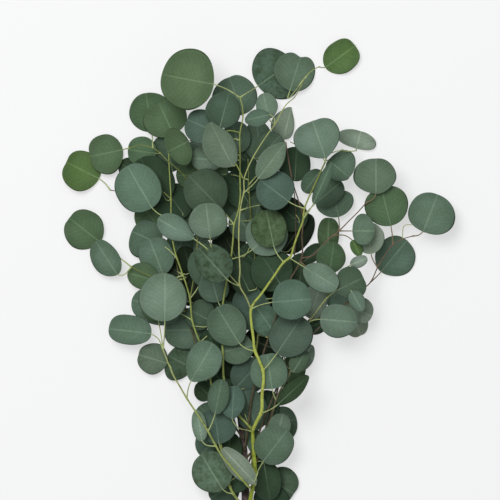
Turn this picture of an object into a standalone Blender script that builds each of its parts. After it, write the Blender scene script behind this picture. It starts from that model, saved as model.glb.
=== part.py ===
"""Eucalyptus branch: round grey-green leaves on slender leafy shoots that leave one woody stem, laid flat.

Blender 4.5, metres, +Z up. The branch lies on Z = 0 with the cut end towards -Y, and the origin is the middle
of its footprint. Places are listed in millimetres on a board under the branch, x to the right and y towards
the cut end, and every height is worked out here, by laying one shoot after another on the pile.
"""

import math
import random

import bmesh
import bpy
import numpy as np

MM = 0.001
BOARD_MIDDLE = (258.50, 296.90)  # the place on the board that becomes the origin
BOARD_SIDE = 620  # squares of one millimetre along each side of the board

# Thicknesses and gaps, in millimetres
BLADE_THICK = 0.7
PETIOLE_RADIUS = 0.6
AIR = 0.75  # between pieces that lie over each other
PETIOLE_AIR = 0.5
SEAT_AIR = -0.2  # on round tubes. The facets of stem and twig leave about 0.3 between them
LOWEST_PETIOLE = 0.1  # above the board

# Twigs and petioles, in millimetres unless they are shares
STEEPEST_TWIG = 0.45  # rise over run
ROUTE_STEP = 4.0
DENSE_STEP = 0.7
CORNER_SLACK = 0.65  # how far a twig may cut the corners of its smooth route
CHORD_SLACK = 2.0  # times the slack, how far apart a chord and its route may run lengthwise
DIP_SLACK = 0.1
SLIM_TWIG = 0.95  # radius up to which a twig has four sides
PETIOLE_SLACK = 1.4
PETIOLE_TAPER = 0.5  # share of its radius where it enters the blade
PETIOLE_JOIN = 5.0  # at both ends a petiole may touch its own shoot
PETIOLE_BEND = 0.35  # how far it reaches straight back from the blade, as a share of its length
MIDRIB_SHARE = 0.1  # how far a petiole runs into its blade, as a share of the blade's length
FREE_START = 10.0  # a side twig rises out of its parent over this length

# The blade's outline: shares of half its length or width
NOTCHES = (0.0, 0.0, 0.03, 0.06)  # depth of the nick at the tip
NOTCH_REACH = 0.3  # radians to each side of the tip
EGG = (0.0, 0.1)  # wider towards the base
PINCH = (0.0, 0.2)  # narrower at the base
SQUARE = (0.0, 0.045)  # fuller between the four quarters
UNEVEN = 0.1  # one half wider than the other

# The blade's form: height at the rim of a blade of FORM_SIZE, and slopes
FORM_SIZE = 40.0
CUP = (-1.3, 2.2)
WAVE = (0.3, 1.3)
CREASE = (0.0, 0.07)
TILT_SPREAD = 0.085
NESTING = 0.7  # how much of the slope under it a blade follows
MOST_NESTING = 0.22

# How finely a blade's solid is cut
RIM_OUT = 1.02  # corners stand this far out, so that a blade with few sides keeps its area
SMALL_BLADE = 30.0
LARGE_BLADE = 46.0
FEWEST_SIDES = 10
GROUND_RINGS = 36
GROUND_SPOKES = 120
GROUND_OUT = 1.03
STEM_SIDES_STEP = 3
WELD = 0.00001  # metres

SEED = 19
OUTLINE_SEED = 5
SOLVER = "EXACT"

LEAF_COLOUR = (0.115, 0.180, 0.135, 1.0)
BARK_COLOUR = (0.115, 0.080, 0.085, 1.0)

# Places in millimetres on the board: x to the right, y towards the cut end.
# twig: guide heights and radii at its two ends, and the route between them
# leaf: at = place on its twig, base and tip of its blade, its width, and any outline or roll of its own

WOODY_STEM = dict(
    heights=(4.75, 8),
    radii=(4.6, 2.4),
    route=[(247, 556), (246, 520), (245, 480), (243, 440), (238, 400), (230, 350),
           (222, 305), (214, 268)],
)

SHOOTS = [
    dict(
        node="back_left_shoot",
        twigs=[
            dict(heights=(14, 9), radii=(1.23, 0.66),
                 route=[(243, 440), (233, 424), (219, 398), (203, 365), (191, 330), (181, 290),
                        (174, 250), (166, 212), (160, 178)]),
        ],
        under=[
            dict(at=(186, 310), base=(180, 312), tip=(146, 292), wide=40, rest=True),
            dict(at=(171, 236), base=(163, 232), tip=(140, 205), wide=34),
            dict(at=(226, 411), base=(221, 437), tip=(200, 456), wide=30),
            dict(at=(222, 404), base=(216, 424), tip=(199, 407), wide=26),
            dict(at=(213, 386), base=(211, 398), tip=(197, 385), wide=20),
            dict(at=(204, 368), base=(192, 369), tip=(167, 356), wide=39),
            dict(at=(196, 345), base=(207, 330), tip=(163, 331), wide=42, square=0.04),
            dict(at=(163, 195), base=(160, 204), tip=(132, 172), wide=40),
            dict(at=(161, 183), base=(143, 172), tip=(118, 163), wide=23),
            dict(at=(207, 374), base=(216, 360), tip=(208, 330), wide=29),
            dict(at=(222, 404), base=(226, 410), tip=(224, 380), wide=27),
            dict(at=(177, 262), base=(188, 264), tip=(202, 236), wide=31),
            dict(at=(170, 228), base=(178, 218), tip=(202, 200), wide=30),
            dict(at=(234, 425), base=(231, 436), tip=(224, 466), wide=24),
            dict(at=(184, 300), base=(206, 304), tip=(234, 297), wide=26),
            dict(at=(181, 292), base=(186, 303), tip=(199, 273), wide=26),
            dict(at=(178, 272), base=(187, 279), tip=(163, 262), wide=24),
            dict(at=(213, 386), base=(227, 392), tip=(210, 366), wide=24),
        ],
        over=[
            dict(at=(190, 326), base=(212, 322), tip=(188, 309), wide=33),
            dict(at=(174, 250), base=(176, 258), tip=(185, 226), wide=26),
            dict(at=(178, 272), base=(190, 272), tip=(184, 246), wide=21),
            dict(at=(168, 220), base=(183, 214), tip=(166, 190), wide=32),
            dict(at=(160, 178), base=(172, 170), tip=(163, 135), wide=31),
        ],
    ),
    dict(
        node="back_right_shoot",
        twigs=[
            dict(heights=(14, 9), radii=(1.23, 0.66),
                 route=[(244, 462), (258, 444), (272, 412), (281, 372), (285, 332), (290, 290),
                        (295, 250), (296, 212), (292, 172)]),
            dict(heights=(9, 6), radii=(0.82, 0.66),
                 route=[(285, 332), (300, 318), (318, 304)]),
        ],
        under=[
            dict(at=(318, 304), base=(324, 300), tip=(356, 286), wide=36, rest=True),
            dict(at=(250, 455), base=(266, 478), tip=(295, 496), wide=38),
            dict(at=(252, 452), base=(260, 490), tip=(285, 514), wide=31),
            dict(at=(268, 420), base=(267, 428), tip=(297, 420), wide=36),
            dict(at=(281, 372), base=(286, 390), tip=(298, 352), wide=26),
            dict(at=(284, 345), base=(294, 371), tip=(313, 346), wide=20, point=0.2),
            dict(at=(300, 318), base=(306, 330), tip=(327, 320), wide=17),
            dict(at=(295, 245), base=(283, 252), tip=(310, 212), wide=34),
            dict(at=(258, 444), base=(262, 452), tip=(261, 486), wide=24),
            dict(at=(266, 425), base=(262, 424), tip=(270, 394), wide=25),
            dict(at=(254, 449), base=(261, 456), tip=(249, 428), wide=18),
            dict(at=(284, 345), base=(276, 350), tip=(246, 338), wide=28),
            dict(at=(296, 215), base=(300, 223), tip=(279, 204), wide=24),
        ],
        over=[
            dict(at=(289, 300), base=(299, 292), tip=(303, 253), wide=27),
            dict(at=(293, 180), base=(295, 180), tip=(297, 147), wide=31),
        ],
    ),
    dict(
        node="back_centre_shoot",
        twigs=[
            dict(heights=(15, 9), radii=(1.15, 0.66),
                 route=[(240, 415), (246, 390), (256, 352), (259, 312), (256, 270), (252, 230),
                        (249, 190), (248, 160)]),
        ],
        under=[
            dict(at=(248, 160), base=(246, 162), tip=(226, 138), wide=36, rest=True),
            dict(at=(251, 220), base=(239, 218), tip=(226, 176), wide=28),
            dict(at=(249, 185), base=(262, 160), tip=(256, 120), wide=30),
            dict(at=(249, 180), base=(226, 174), tip=(178, 175), wide=34),
            dict(at=(250, 208), base=(250, 205), tip=(231, 173), wide=32),
            dict(at=(253, 240), base=(236, 258), tip=(222, 230), wide=30),
            dict(at=(257, 290), base=(241, 296), tip=(220, 276), wide=28),
            dict(at=(252, 372), base=(238, 378), tip=(226, 350), wide=28),
            dict(at=(252, 235), base=(255, 238), tip=(234, 212), wide=30),
            dict(at=(255, 262), base=(263, 267), tip=(240, 250), wide=26),
            dict(at=(252, 229), base=(254, 223), tip=(261, 197), wide=24),
            dict(at=(249, 192), base=(247, 191), tip=(251, 158), wide=24),
            dict(at=(259, 306), base=(257, 307), tip=(277, 290), wide=22),
        ],
        over=[
            dict(at=(259, 320), base=(257, 328), tip=(244, 289), wide=35),
            dict(at=(257, 285), base=(249, 291), tip=(236, 262), wide=24),
            dict(at=(259, 300), base=(283, 288), tip=(260, 253), wide=45),
            dict(at=(258, 335), base=(275, 334), tip=(257, 308), wide=30),
            dict(at=(247, 388), base=(236, 388), tip=(260, 362), wide=35),
            dict(at=(242, 408), base=(257, 431), tip=(245, 391), wide=33),
        ],
    ),
    dict(
        node="far_right_shoot",
        twigs=[
            dict(heights=(16, 22), radii=(1.31, 0.57),
                 route=[(244, 474), (253, 452), (262, 425), (274, 395), (286, 368), (299, 349),
                        (311, 336), (322, 325), (340, 308), (355, 296), (365, 288), (371, 282),
                        (375, 274), (378, 267), (384, 257), (393, 245), (403, 239), (413, 236)]),
            dict(heights=(22, 26), radii=(0.5, 0.5),
                 route=[(403, 239), (403, 231), (405, 225), (412, 225)]),
        ],
        under=[
            dict(at=(372, 282), base=(382, 272), tip=(408, 240), wide=41),
            dict(at=(345, 304), base=(350, 304), tip=(362, 337), wide=28),
        ],
        over=[
            dict(at=(350, 300), base=(350, 305), tip=(372, 317), wide=27),
            dict(at=(413, 236), base=(423, 232), tip=(438, 194), wide=48, pinch=0.1, notch=0.02),
            dict(at=(393, 245), base=(391, 226), tip=(381, 187), wide=44, pinch=0.2, egg=-0.04, notch=0),
            dict(at=(378, 267), base=(371, 254), tip=(367, 222), wide=29),
        ],
    ),
    dict(
        node="right_shoot",
        twigs=[
            dict(heights=(17, 26), radii=(1.39, 0.66),
                 route=[(244, 451), (247, 436), (249, 418), (251, 402), (260, 365), (274, 322),
                        (286, 290), (291, 278), (298, 266), (302, 256), (302, 236), (303, 216),
                        (299, 202), (293, 183), (289, 162), (286, 143)]),
            dict(heights=(24, 22), radii=(0.82, 0.66),
                 route=[(302, 258), (312, 256), (320, 248), (330, 238), (339, 231), (349, 221),
                        (358, 212), (366, 203)]),
        ],
        under=[
            dict(at=(303, 256), base=(304, 262), tip=(322, 245), wide=16),
            dict(at=(326, 242), base=(328, 252), tip=(329, 217), wide=22, square=0.06),
        ],
        over=[
            dict(at=(300, 262), base=(330, 273), tip=(334, 242), wide=30),
            dict(at=(339, 230), base=(339, 217), tip=(334, 190), wide=38, egg=-0.12, pinch=0.2),
            dict(at=(334, 235), base=(352, 240), tip=(360, 256), wide=12, roll=45),
            dict(at=(339, 231), base=(352, 231), tip=(374, 231), wide=32),
            dict(at=(366, 203), base=(376, 194), tip=(376, 158), wide=43, egg=0, pinch=0.2),
            dict(at=(286, 143), base=(284, 139), tip=(292, 106), wide=23, side=-0.4, egg=0.3, point=0.25),
        ],
    ),
    dict(
        node="lower_right_shoot",
        twigs=[
            dict(heights=(19, 30), radii=(1.31, 0.74),
                 route=[(245, 490), (255, 466), (266, 436), (273, 412), (276, 400), (281, 389),
                        (287, 379), (291, 370), (297, 353), (304, 336), (309, 322), (316, 312),
                        (325, 300)]),
            dict(heights=(30, 34), radii=(0.66, 0.57),
                 route=[(325, 300), (331, 291), (340, 287), (348, 289)]),
            dict(heights=(30, 28), radii=(0.66, 0.57),
                 route=[(325, 300), (333, 286), (343, 272)]),
        ],
        under=[
            dict(at=(257, 462), base=(264, 464), tip=(270, 500), wide=28),
            dict(at=(312, 318), base=(310, 319), tip=(321, 286), wide=27),
        ],
        over=[
            dict(at=(268, 432), base=(276, 441), tip=(283, 414), wide=23),
            dict(at=(276, 400), base=(272, 389), tip=(267, 353), wide=38),
            dict(at=(291, 370), base=(293, 372), tip=(307, 350), wide=18),
            dict(at=(343, 272), base=(350, 265), tip=(367, 258), wide=12),
            dict(at=(325, 300), base=(337, 290), tip=(364, 277), wide=34),
            dict(at=(348, 289), base=(351, 291), tip=(362, 311), wide=16, point=0.3),
            dict(at=(309, 322), base=(320, 319), tip=(357, 322), wide=34),
        ],
    ),
    dict(
        node="left_shoot",
        twigs=[
            dict(heights=(20, 34), radii=(1.48, 0.66),
                 route=[(246, 510), (238, 501), (231, 490), (226, 470), (222, 452), (218, 425),
                        (212, 388), (204, 352), (198, 338), (192, 320), (190, 299), (186, 284),
                        (180, 267), (175, 252), (172, 235), (171, 214), (171, 198), (170, 180),
                        (169, 162), (169, 148)]),
            dict(heights=(26, 24), radii=(0.82, 0.57),
                 route=[(190, 299), (196, 262), (196, 218), (186, 178), (168, 161), (153, 148),
                        (140, 145), (129, 148)]),
            dict(heights=(26, 18), radii=(0.74, 0.57),
                 route=[(184, 279), (162, 280), (145, 274), (131, 267)]),
            dict(heights=(28, 18), radii=(0.66, 0.57),
                 route=[(171, 199), (160, 190), (145, 187), (130, 190), (118, 191), (110, 190)]),
        ],
        under=[
            dict(at=(191, 321), base=(180, 314), tip=(131, 300), wide=37),
            dict(at=(177, 258), base=(160, 244), tip=(131, 231), wide=40),
            dict(at=(183, 276), base=(163, 275), tip=(149, 239), wide=35, square=0.05, egg=-0.1),
            dict(at=(182, 279), base=(157, 281), tip=(127, 273), wide=27, pinch=0.2),
            dict(at=(230, 488), base=(236, 485), tip=(211, 499), wide=27),
            dict(at=(229, 482), base=(246, 474), tip=(226, 486), wide=24),
            dict(at=(160, 154), base=(156, 153), tip=(127, 149), wide=30),
            dict(at=(171, 199), base=(166, 200), tip=(140, 158), wide=40),
            dict(at=(153, 148), base=(151, 131), tip=(145, 92), wide=43),
            dict(at=(131, 267), base=(99, 242), tip=(67, 217), wide=41, pinch=0.15),
        ],
        over=[
            dict(at=(231, 496), base=(223, 490), tip=(201, 455), wide=40, pinch=0.1),
            dict(at=(222, 453), base=(219, 444), tip=(214, 408), wide=37),
            dict(at=(110, 190), base=(98, 178), tip=(64, 161), wide=41, pinch=0.15, square=0.05),
            dict(at=(129, 148), base=(122, 149), tip=(88, 156), wide=41, pinch=0.2),
            dict(at=(131, 268), base=(117, 275), tip=(95, 241), wide=28, side=-0.1),
            dict(at=(171, 218), base=(152, 208), tip=(127, 165), wide=46, square=0.03, egg=0.06, side=-0.1),
            dict(at=(190, 298), base=(199, 285), tip=(210, 250), wide=38, pinch=0.3, egg=-0.1),
            dict(at=(169, 148), base=(173, 134), tip=(158, 101), wide=45),
        ],
    ),
    dict(
        node="front_branch",
        twigs=[
            dict(heights=(12, 18), radii=(2.35, 1.95),
                 route=[(246, 530), (249, 512), (251, 497), (253, 486), (255, 472), (254, 455),
                        (253, 440), (252.5, 431)]),
            dict(heights=(22, 40), radii=(1.4, 0.74),
                 route=[(252.5, 431), (247, 424), (241, 418), (231, 402), (224, 380), (223, 357),
                        (222, 330), (223, 303), (226, 285), (229, 270), (231, 258), (233, 240),
                        (234, 225), (238, 212), (240, 200), (240, 178), (240, 155), (240, 133),
                        (243, 116), (242, 105), (240, 98)]),
            dict(heights=(42, 42), radii=(0.74, 0.57),
                 route=[(240, 133), (231, 131), (216, 134), (203, 136)]),
        ],
        under=[
            dict(at=(223, 357), base=(221, 352), tip=(253, 346), wide=33),
            dict(at=(223, 308), base=(218, 302), tip=(210, 272), wide=31),
            dict(at=(243, 116), base=(243, 114), tip=(229, 75), wide=46),
            dict(at=(240, 150), base=(240, 152), tip=(232, 121), wide=28),
            dict(at=(240, 155), base=(221, 152), tip=(190, 141), wide=31),
            dict(at=(240, 160), base=(223, 160), tip=(191, 158), wide=27),
            dict(at=(234, 225), base=(223, 224), tip=(195, 226), wide=30),
        ],
        over=[
            dict(at=(203, 136), base=(189, 141), tip=(168, 152), wide=41),
            dict(at=(222, 133), base=(219, 134), tip=(186, 119), wide=35),
            dict(at=(234, 225), base=(221, 209), tip=(189, 176), wide=46),
            dict(at=(232, 260), base=(252, 250), tip=(282, 221), wide=44),
            dict(at=(240, 140), base=(220, 128), tip=(229, 94), wide=35),
            dict(at=(240, 98), base=(214, 85), tip=(162, 75), wide=62, pinch=0.1),
            dict(at=(240, 98), base=(258, 85), tip=(293, 60), wide=56),
        ],
    ),
    dict(
        node="front_branch",
        twigs=[
            dict(heights=(30, 44), radii=(1.95, 0.82),
                 route=[(252.5, 431), (257, 421), (261, 413), (262, 395), (263, 371), (259, 360),
                        (255, 351), (253, 335), (251, 320), (251, 309), (262, 293), (274, 276),
                        (284, 262), (290, 257), (294, 245), (299, 231), (303, 220), (304, 210),
                        (308, 199), (314, 186), (320, 173), (325, 162)]),
            dict(heights=(52, 34), radii=(0.98, 0.57),
                 route=[(251, 309), (246, 297), (240, 286), (240, 270), (239, 250), (239, 228),
                        (240, 212), (242, 200), (244, 192), (244, 180), (248, 168), (254, 156),
                        (260, 146), (268, 134), (276, 123), (282, 111), (287, 104), (294, 98),
                        (300, 88), (306, 77), (313, 70), (319, 67)]),
            dict(heights=(50, 52), radii=(0.74, 0.66),
                 route=[(244, 180), (240, 172), (236, 164)]),
            dict(heights=(52, 54), radii=(0.74, 0.66),
                 route=[(240, 286), (229, 274), (220, 263), (213, 254)]),
            dict(heights=(44, 38), radii=(0.57, 0.5),
                 route=[(325, 162), (321, 157), (311, 152), (300, 147), (290, 142)]),
            dict(heights=(44, 38), radii=(0.66, 0.57),
                 route=[(325, 162), (328, 155), (335, 152), (342, 150)]),
        ],
        under=[
            dict(at=(254, 487), base=(256, 483), tip=(223, 448), wide=22, roll=45, pinch=0.3),
            dict(at=(322, 168), base=(321, 170), tip=(304, 192), wide=19),
            dict(at=(304, 216), base=(316, 203), tip=(342, 181), wide=24),
            dict(at=(325, 163), base=(328, 160), tip=(350, 178), wide=34, side=-0.25, point=0.25),
            dict(at=(240, 211), base=(260, 205), tip=(291, 201), wide=24),
            dict(at=(254, 157), base=(257, 159), tip=(281, 135), wide=27),
            dict(at=(307, 77), base=(290, 90), tip=(302, 52), wide=42, notch=0.2, pinch=0.3, via=(288, 97)),
        ],
        over=[
            dict(at=(254, 487), base=(263, 462), tip=(287, 430), wide=38, square=0.06),
            dict(at=(262, 414), base=(278, 404), tip=(309, 375), wide=17, roll=52, point=0.3, pinch=0.2),
            dict(at=(252, 432), base=(232, 419), tip=(234, 386), wide=27, pinch=0.3, egg=-0.08),
            dict(at=(264, 370), base=(277, 353), tip=(302, 316), wide=42),
            dict(at=(254, 352), base=(239, 343), tip=(217, 307), wide=38, pinch=0.2),
            dict(at=(240, 286), base=(227, 279), tip=(199, 248), wide=35, pinch=0.1),
            dict(at=(213, 254), base=(194, 239), tip=(158, 219), wide=25, pinch=0.4, egg=-0.12),
            dict(at=(213, 254), base=(210, 238), tip=(206, 203), wide=39, pinch=0.1),
            dict(at=(291, 259), base=(304, 267), tip=(338, 288), wide=28, pinch=0.4, point=0.15),
            dict(at=(252, 309), base=(272, 302), tip=(312, 299), wide=41, pinch=0.1),
            dict(at=(284, 262), base=(274, 247), tip=(266, 209), wide=36),
            dict(at=(303, 208), base=(289, 202), tip=(260, 180), wide=41),
            dict(at=(303, 218), base=(313, 204), tip=(331, 163), wide=11, roll=62),
            dict(at=(342, 150), base=(357, 148), tip=(362, 130), wide=40, side=-0.1),
            dict(at=(325, 162), base=(325, 158), tip=(312, 120), wide=47, pinch=0.3, egg=-0.1, notch=0.05),
            dict(at=(244, 193), base=(258, 179), tip=(285, 143), wide=24, point=0.45, pinch=0.3),
            dict(at=(236, 164), base=(233, 167), tip=(210, 122), wide=33, side=-0.2, point=0.5, egg=0.1),
            dict(at=(275, 124), base=(269, 118), tip=(263, 92), wide=22, pinch=0.2),
            dict(at=(275, 124), base=(270, 115), tip=(244, 121), wide=18, pinch=0.4, point=0.4),
            dict(at=(319, 67), base=(326, 66), tip=(356, 44), wide=33, pinch=0.3, square=0.08),
        ],
    ),
    dict(
        node="front_branch",
        twigs=[
            dict(heights=(30, 24), radii=(1.48, 0.82),
                 route=[(250, 488), (245, 482), (237, 473), (230, 465), (223, 457), (215, 444),
                        (208, 431), (200, 418), (193, 408), (187, 399), (180, 387), (173, 375),
                        (168, 363), (163, 350)]),
        ],
        under=[
            dict(at=(214, 447), base=(202, 441), tip=(197, 410), wide=15),
            dict(at=(172, 374), base=(167, 364), tip=(137, 355), wide=32, pinch=0.3),
            dict(at=(163, 350), base=(158, 321), tip=(150, 290), wide=26),
        ],
        over=[
            dict(at=(187, 399), base=(191, 381), tip=(213, 343), wide=35, pinch=0.3, egg=-0.12),
            dict(at=(208, 431), base=(215, 414), tip=(222, 379), wide=22, pinch=0.3),
            dict(at=(163, 350), base=(151, 334), tip=(108, 329), wide=30, side=0.1, square=0.08, pinch=0.15),
            dict(at=(163, 350), base=(165, 321), tip=(165, 273), wide=49, pinch=0.12),
        ],
    ),
]


class Pile:
    """The highest surface so far over each square of the board."""

    def __init__(self):
        self.top = np.zeros((BOARD_SIDE, BOARD_SIDE))

    def copy(self):
        other = Pile()
        other.top = self.top.copy()
        return other

    def under(self, x, y):
        """The highest surface within about one square of each place."""
        column = np.clip(np.floor(x).astype(int), 1, BOARD_SIDE - 2)
        row = np.clip(np.floor(y).astype(int), 1, BOARD_SIDE - 2)
        near = [self.top[column + i, row + j] for i in (-1, 0, 1) for j in (-1, 0, 1)]
        return np.max(near, axis=0)

    def under_tube(self, plan, radii):
        """How high the middle of a tube has to lie to touch the pile nowhere."""
        side = np.gradient(plan, axis=0)
        side /= np.linalg.norm(side, axis=1, keepdims=True) + 1e-9
        needs = []
        for share in np.linspace(-1, 1, 7):
            x = plan[:, 0] - side[:, 1] * radii * share
            y = plan[:, 1] + side[:, 0] * radii * share
            needs.append(self.under(x, y) + radii * math.sqrt(1 - share * share))
        return np.max(needs, axis=0)

    def cover(self, x, y, z):
        column = np.clip(np.floor(x).astype(int), 0, BOARD_SIDE - 1)
        row = np.clip(np.floor(y).astype(int), 0, BOARD_SIDE - 1)
        np.maximum.at(self.top, (column, row), z)

    def cover_tube(self, points, end_radii):
        """Covers a round tube along a smooth line through the points."""
        points = smooth_route(points, DENSE_STEP)
        radii = np.linspace(end_radii[0], end_radii[1], len(points))
        side = np.gradient(points[:, :2], axis=0)
        side /= np.linalg.norm(side, axis=1, keepdims=True) + 1e-9
        for share in np.linspace(-1, 1, 9):
            x = points[:, 0] - side[:, 1] * radii * share
            y = points[:, 1] + side[:, 0] * radii * share
            self.cover(x, y, points[:, 2] + radii * math.sqrt(1 - share * share))


def smooth_route(points, step):
    """Points about one step apart on a smooth curve through the route's own points."""
    points = np.array(points, float)
    gaps = np.linalg.norm(np.diff(points, axis=0), axis=1)
    at = np.concatenate([[0], np.cumsum(gaps)])
    slope = np.gradient(points, at, axis=0)
    here = np.linspace(0, at[-1], max(3, int(at[-1] / step) + 1))
    k = np.clip(np.searchsorted(at, here, side="right") - 1, 0, len(gaps) - 1)
    t = ((here - at[k]) / gaps[k])[:, None]
    span = gaps[k][:, None]
    start = points[k] * (2 * t**3 - 3 * t**2 + 1) + slope[k] * span * (t**3 - 2 * t**2 + t)
    return start + points[k + 1] * (3 * t**2 - 2 * t**3) + slope[k + 1] * span * (t**3 - t**2)


def run_along(plan):
    """How far along the route each of its points is."""
    return np.concatenate([[0], np.cumsum(np.linalg.norm(np.diff(plan, axis=0), axis=1))])


def fewer_points(points, floor, slack):
    """The points that a tube needs: its chords stay near the route and never dip under the floor."""
    kept = [0]
    while kept[-1] < len(points) - 1:
        first = kept[-1]
        last = first + 1
        for end in range(first + 2, len(points)):
            share = np.linspace(0, 1, end - first + 1)[1:-1, None]
            chord = points[first] * (1 - share) + points[end] * share
            middle = points[first + 1:end]
            apart = np.linalg.norm(chord - middle, axis=1).max()
            if apart > slack * CHORD_SLACK or (chord[:, 2] < floor[first + 1:end] - DIP_SLACK).any():
                break
            along = (points[end] - points[first]) / np.linalg.norm(points[end] - points[first])
            out = middle - points[first]
            out = out - np.outer(out @ along, along)
            if np.linalg.norm(out, axis=1).max() > slack:
                break
            last = end
        kept.append(last)
    return kept


def nearest_on(twigs, place):
    """The nearest point, seen from above, on the twigs laid so far."""
    points = np.concatenate([smooth_route(twig["points"], 1.0) for twig in twigs])
    return points[np.argmin(np.hypot(points[:, 0] - place[0], points[:, 1] - place[1]))]


def lay_woody_stem(pile):
    """The stem lies on the board at its own stated heights."""
    plan = smooth_route(WOODY_STEM["route"], ROUTE_STEP)
    share = np.linspace(0, 1, len(plan))
    WOODY_STEM["points"] = np.column_stack([plan, np.interp(share, (0, 1), WOODY_STEM["heights"])])
    WOODY_STEM["tube_radii"] = np.interp(share, (0, 1), WOODY_STEM["radii"])
    WOODY_STEM["kept"] = fewer_points(WOODY_STEM["points"], WOODY_STEM["points"][:, 2], CORNER_SLACK)
    pile.cover_tube(WOODY_STEM["points"], WOODY_STEM["radii"])


def seat_on_stem(place):
    """The height of the woody stem's top at the nearest of its points."""
    points = WOODY_STEM["points"]
    nearest = np.argmin(np.hypot(points[:, 0] - place[0], points[:, 1] - place[1]))
    return points[nearest, 2] + WOODY_STEM["tube_radii"][nearest] + SEAT_AIR


def lay_twig(twig, pile, below, laid):
    """Lays a twig over the pile. A side twig starts inside its parent, and the first one on the stem."""
    plan = smooth_route(twig["route"], ROUTE_STEP)
    run = run_along(plan)
    share = run / run[-1]
    radii = np.interp(share, (0, 1), twig["radii"])
    free = run < (FREE_START if laid else ROUTE_STEP)
    floor = np.where(free, below.under_tube(plan, radii), pile.under_tube(plan, radii)) + AIR
    start = nearest_on(laid, plan[0])[2] if laid else seat_on_stem(plan[0]) + radii[0]
    guide = np.interp(share, (0, 1), twig["heights"])
    height = np.maximum(floor, np.clip(guide, start - STEEPEST_TWIG * run, start + STEEPEST_TWIG * run))
    apart = np.abs(run[:, None] - run[None, :])
    height = (height[None, :] - STEEPEST_TWIG * apart).max(axis=1)
    height[0] = start
    floor[0] = start
    twig["points"] = np.column_stack([plan, height])
    twig["tube_radii"] = radii
    twig["kept"] = fewer_points(twig["points"], floor, CORNER_SLACK)
    pile.cover_tube(twig["points"], twig["radii"])
    laid.append(twig)


def blade_plan(leaf, radius, angle):
    """Shares of half the blade's length and width, from the middle. The angle is 0 at the tip."""
    nick = leaf["notch"] * np.exp(-((np.abs(angle) / NOTCH_REACH) ** 2))
    reach = radius * (1 - nick + leaf["square"] * np.sin(2 * angle) ** 2)
    along = np.cos(angle)
    to_tip = np.maximum(0, along) ** 2
    to_base = np.maximum(0, -along) ** 2
    width = 1 - leaf["egg"] * along - leaf["pinch"] * to_base - leaf["point"] * to_tip
    width = width + leaf["side"] * np.sign(angle)
    return reach * along, reach * np.sin(angle) * width


def blade_points(leaf, radius, angle):
    """The blade's middle surface: a tilted plane with a shallow cup, a midrib crease and a slow wave."""
    along, across = blade_plan(leaf, radius, angle)
    half_length = leaf["length"] / 2
    half_width = leaf["wide"] / 2
    x = leaf["middle"][0] + along * half_length * leaf["way"][0] - across * half_width * leaf["way"][1]
    y = leaf["middle"][1] + along * half_length * leaf["way"][1] + across * half_width * leaf["way"][0]
    z = leaf["height"] + leaf["rise"] * along * half_length + leaf["lean"] * across * half_width
    z = z + leaf["cup"] * radius + leaf["crease"] * np.abs(across) * half_width
    z = z + leaf["wave"] * radius * np.sin(2 * angle + leaf["phase"])
    return x, y, z


def shape_leaf(leaf, draw, outline_draw):
    """Gives a leaf its place, outline and form. What its row states isn't drawn. Returns its loose tilt."""
    base = np.array(leaf["base"], float)
    tip = np.array(leaf["tip"], float)
    leaf["length"] = float(np.linalg.norm(tip - base))
    leaf["way"] = (tip - base) / leaf["length"]
    leaf["middle"] = (tip + base) / 2
    leaf["height"] = 0.0
    size = min(leaf["length"], leaf["wide"]) / FORM_SIZE
    loose = 0.0 if leaf.get("rest", False) else 1.0
    leaf.setdefault("notch", draw.choice(NOTCHES))
    leaf.setdefault("egg", draw.uniform(*EGG))
    leaf.setdefault("pinch", outline_draw.uniform(*PINCH))
    leaf.setdefault("square", outline_draw.uniform(*SQUARE))
    leaf.setdefault("side", outline_draw.uniform(-UNEVEN, UNEVEN))
    leaf.setdefault("point", 0.0)
    leaf["cup"] = loose * draw.uniform(*CUP) * size
    leaf["crease"] = loose * draw.uniform(*CREASE)
    leaf["wave"] = loose * draw.uniform(*WAVE) * size
    leaf["phase"] = draw.uniform(0, 2 * math.pi)
    leaf["rise"] = 0.0
    leaf["lean"] = 0.0
    return loose * draw.gauss(0, TILT_SPREAD), loose * draw.gauss(0, TILT_SPREAD)


def lay_leaf(leaf, pile, draw, outline_draw):
    """Lowers a leaf, tilted partly as the ground under it is, until it lies just clear of the pile."""
    loose_rise, loose_lean = shape_leaf(leaf, draw, outline_draw)
    rings = np.linspace(0, GROUND_OUT, GROUND_RINGS)
    spokes = np.linspace(-math.pi, math.pi, GROUND_SPOKES)
    radius, angle = np.meshgrid(rings, spokes)
    x, y, _ = blade_points(leaf, radius, angle)
    ground = pile.under(x, y)
    if not leaf.get("rest", False):
        along, across = blade_plan(leaf, radius, angle)
        along = along.ravel() * leaf["length"] / 2
        across = across.ravel() * leaf["wide"] / 2
        plane = np.column_stack([along, across, np.ones(along.size)])
        fit = np.linalg.lstsq(plane, ground.ravel(), rcond=None)[0]
        leaf["rise"] = float(np.clip(NESTING * fit[0], -MOST_NESTING, MOST_NESTING)) + loose_rise
        leaf["lean"] = float(np.clip(NESTING * fit[1], -MOST_NESTING, MOST_NESTING)) + loose_lean
        if "roll" in leaf:
            leaf["lean"] = math.tan(math.radians(leaf["roll"]))
    half = BLADE_THICK / 2 * math.sqrt(1 + leaf["rise"] ** 2 + leaf["lean"] ** 2)
    z = blade_points(leaf, radius, angle)[2]
    leaf["height"] = BLADE_THICK / 2
    if not leaf.get("rest", False):
        leaf["height"] = float((ground + AIR + half - z).max())
    x, y, z = blade_points(leaf, radius, angle)
    pile.cover(x, y, z + half)


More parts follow.
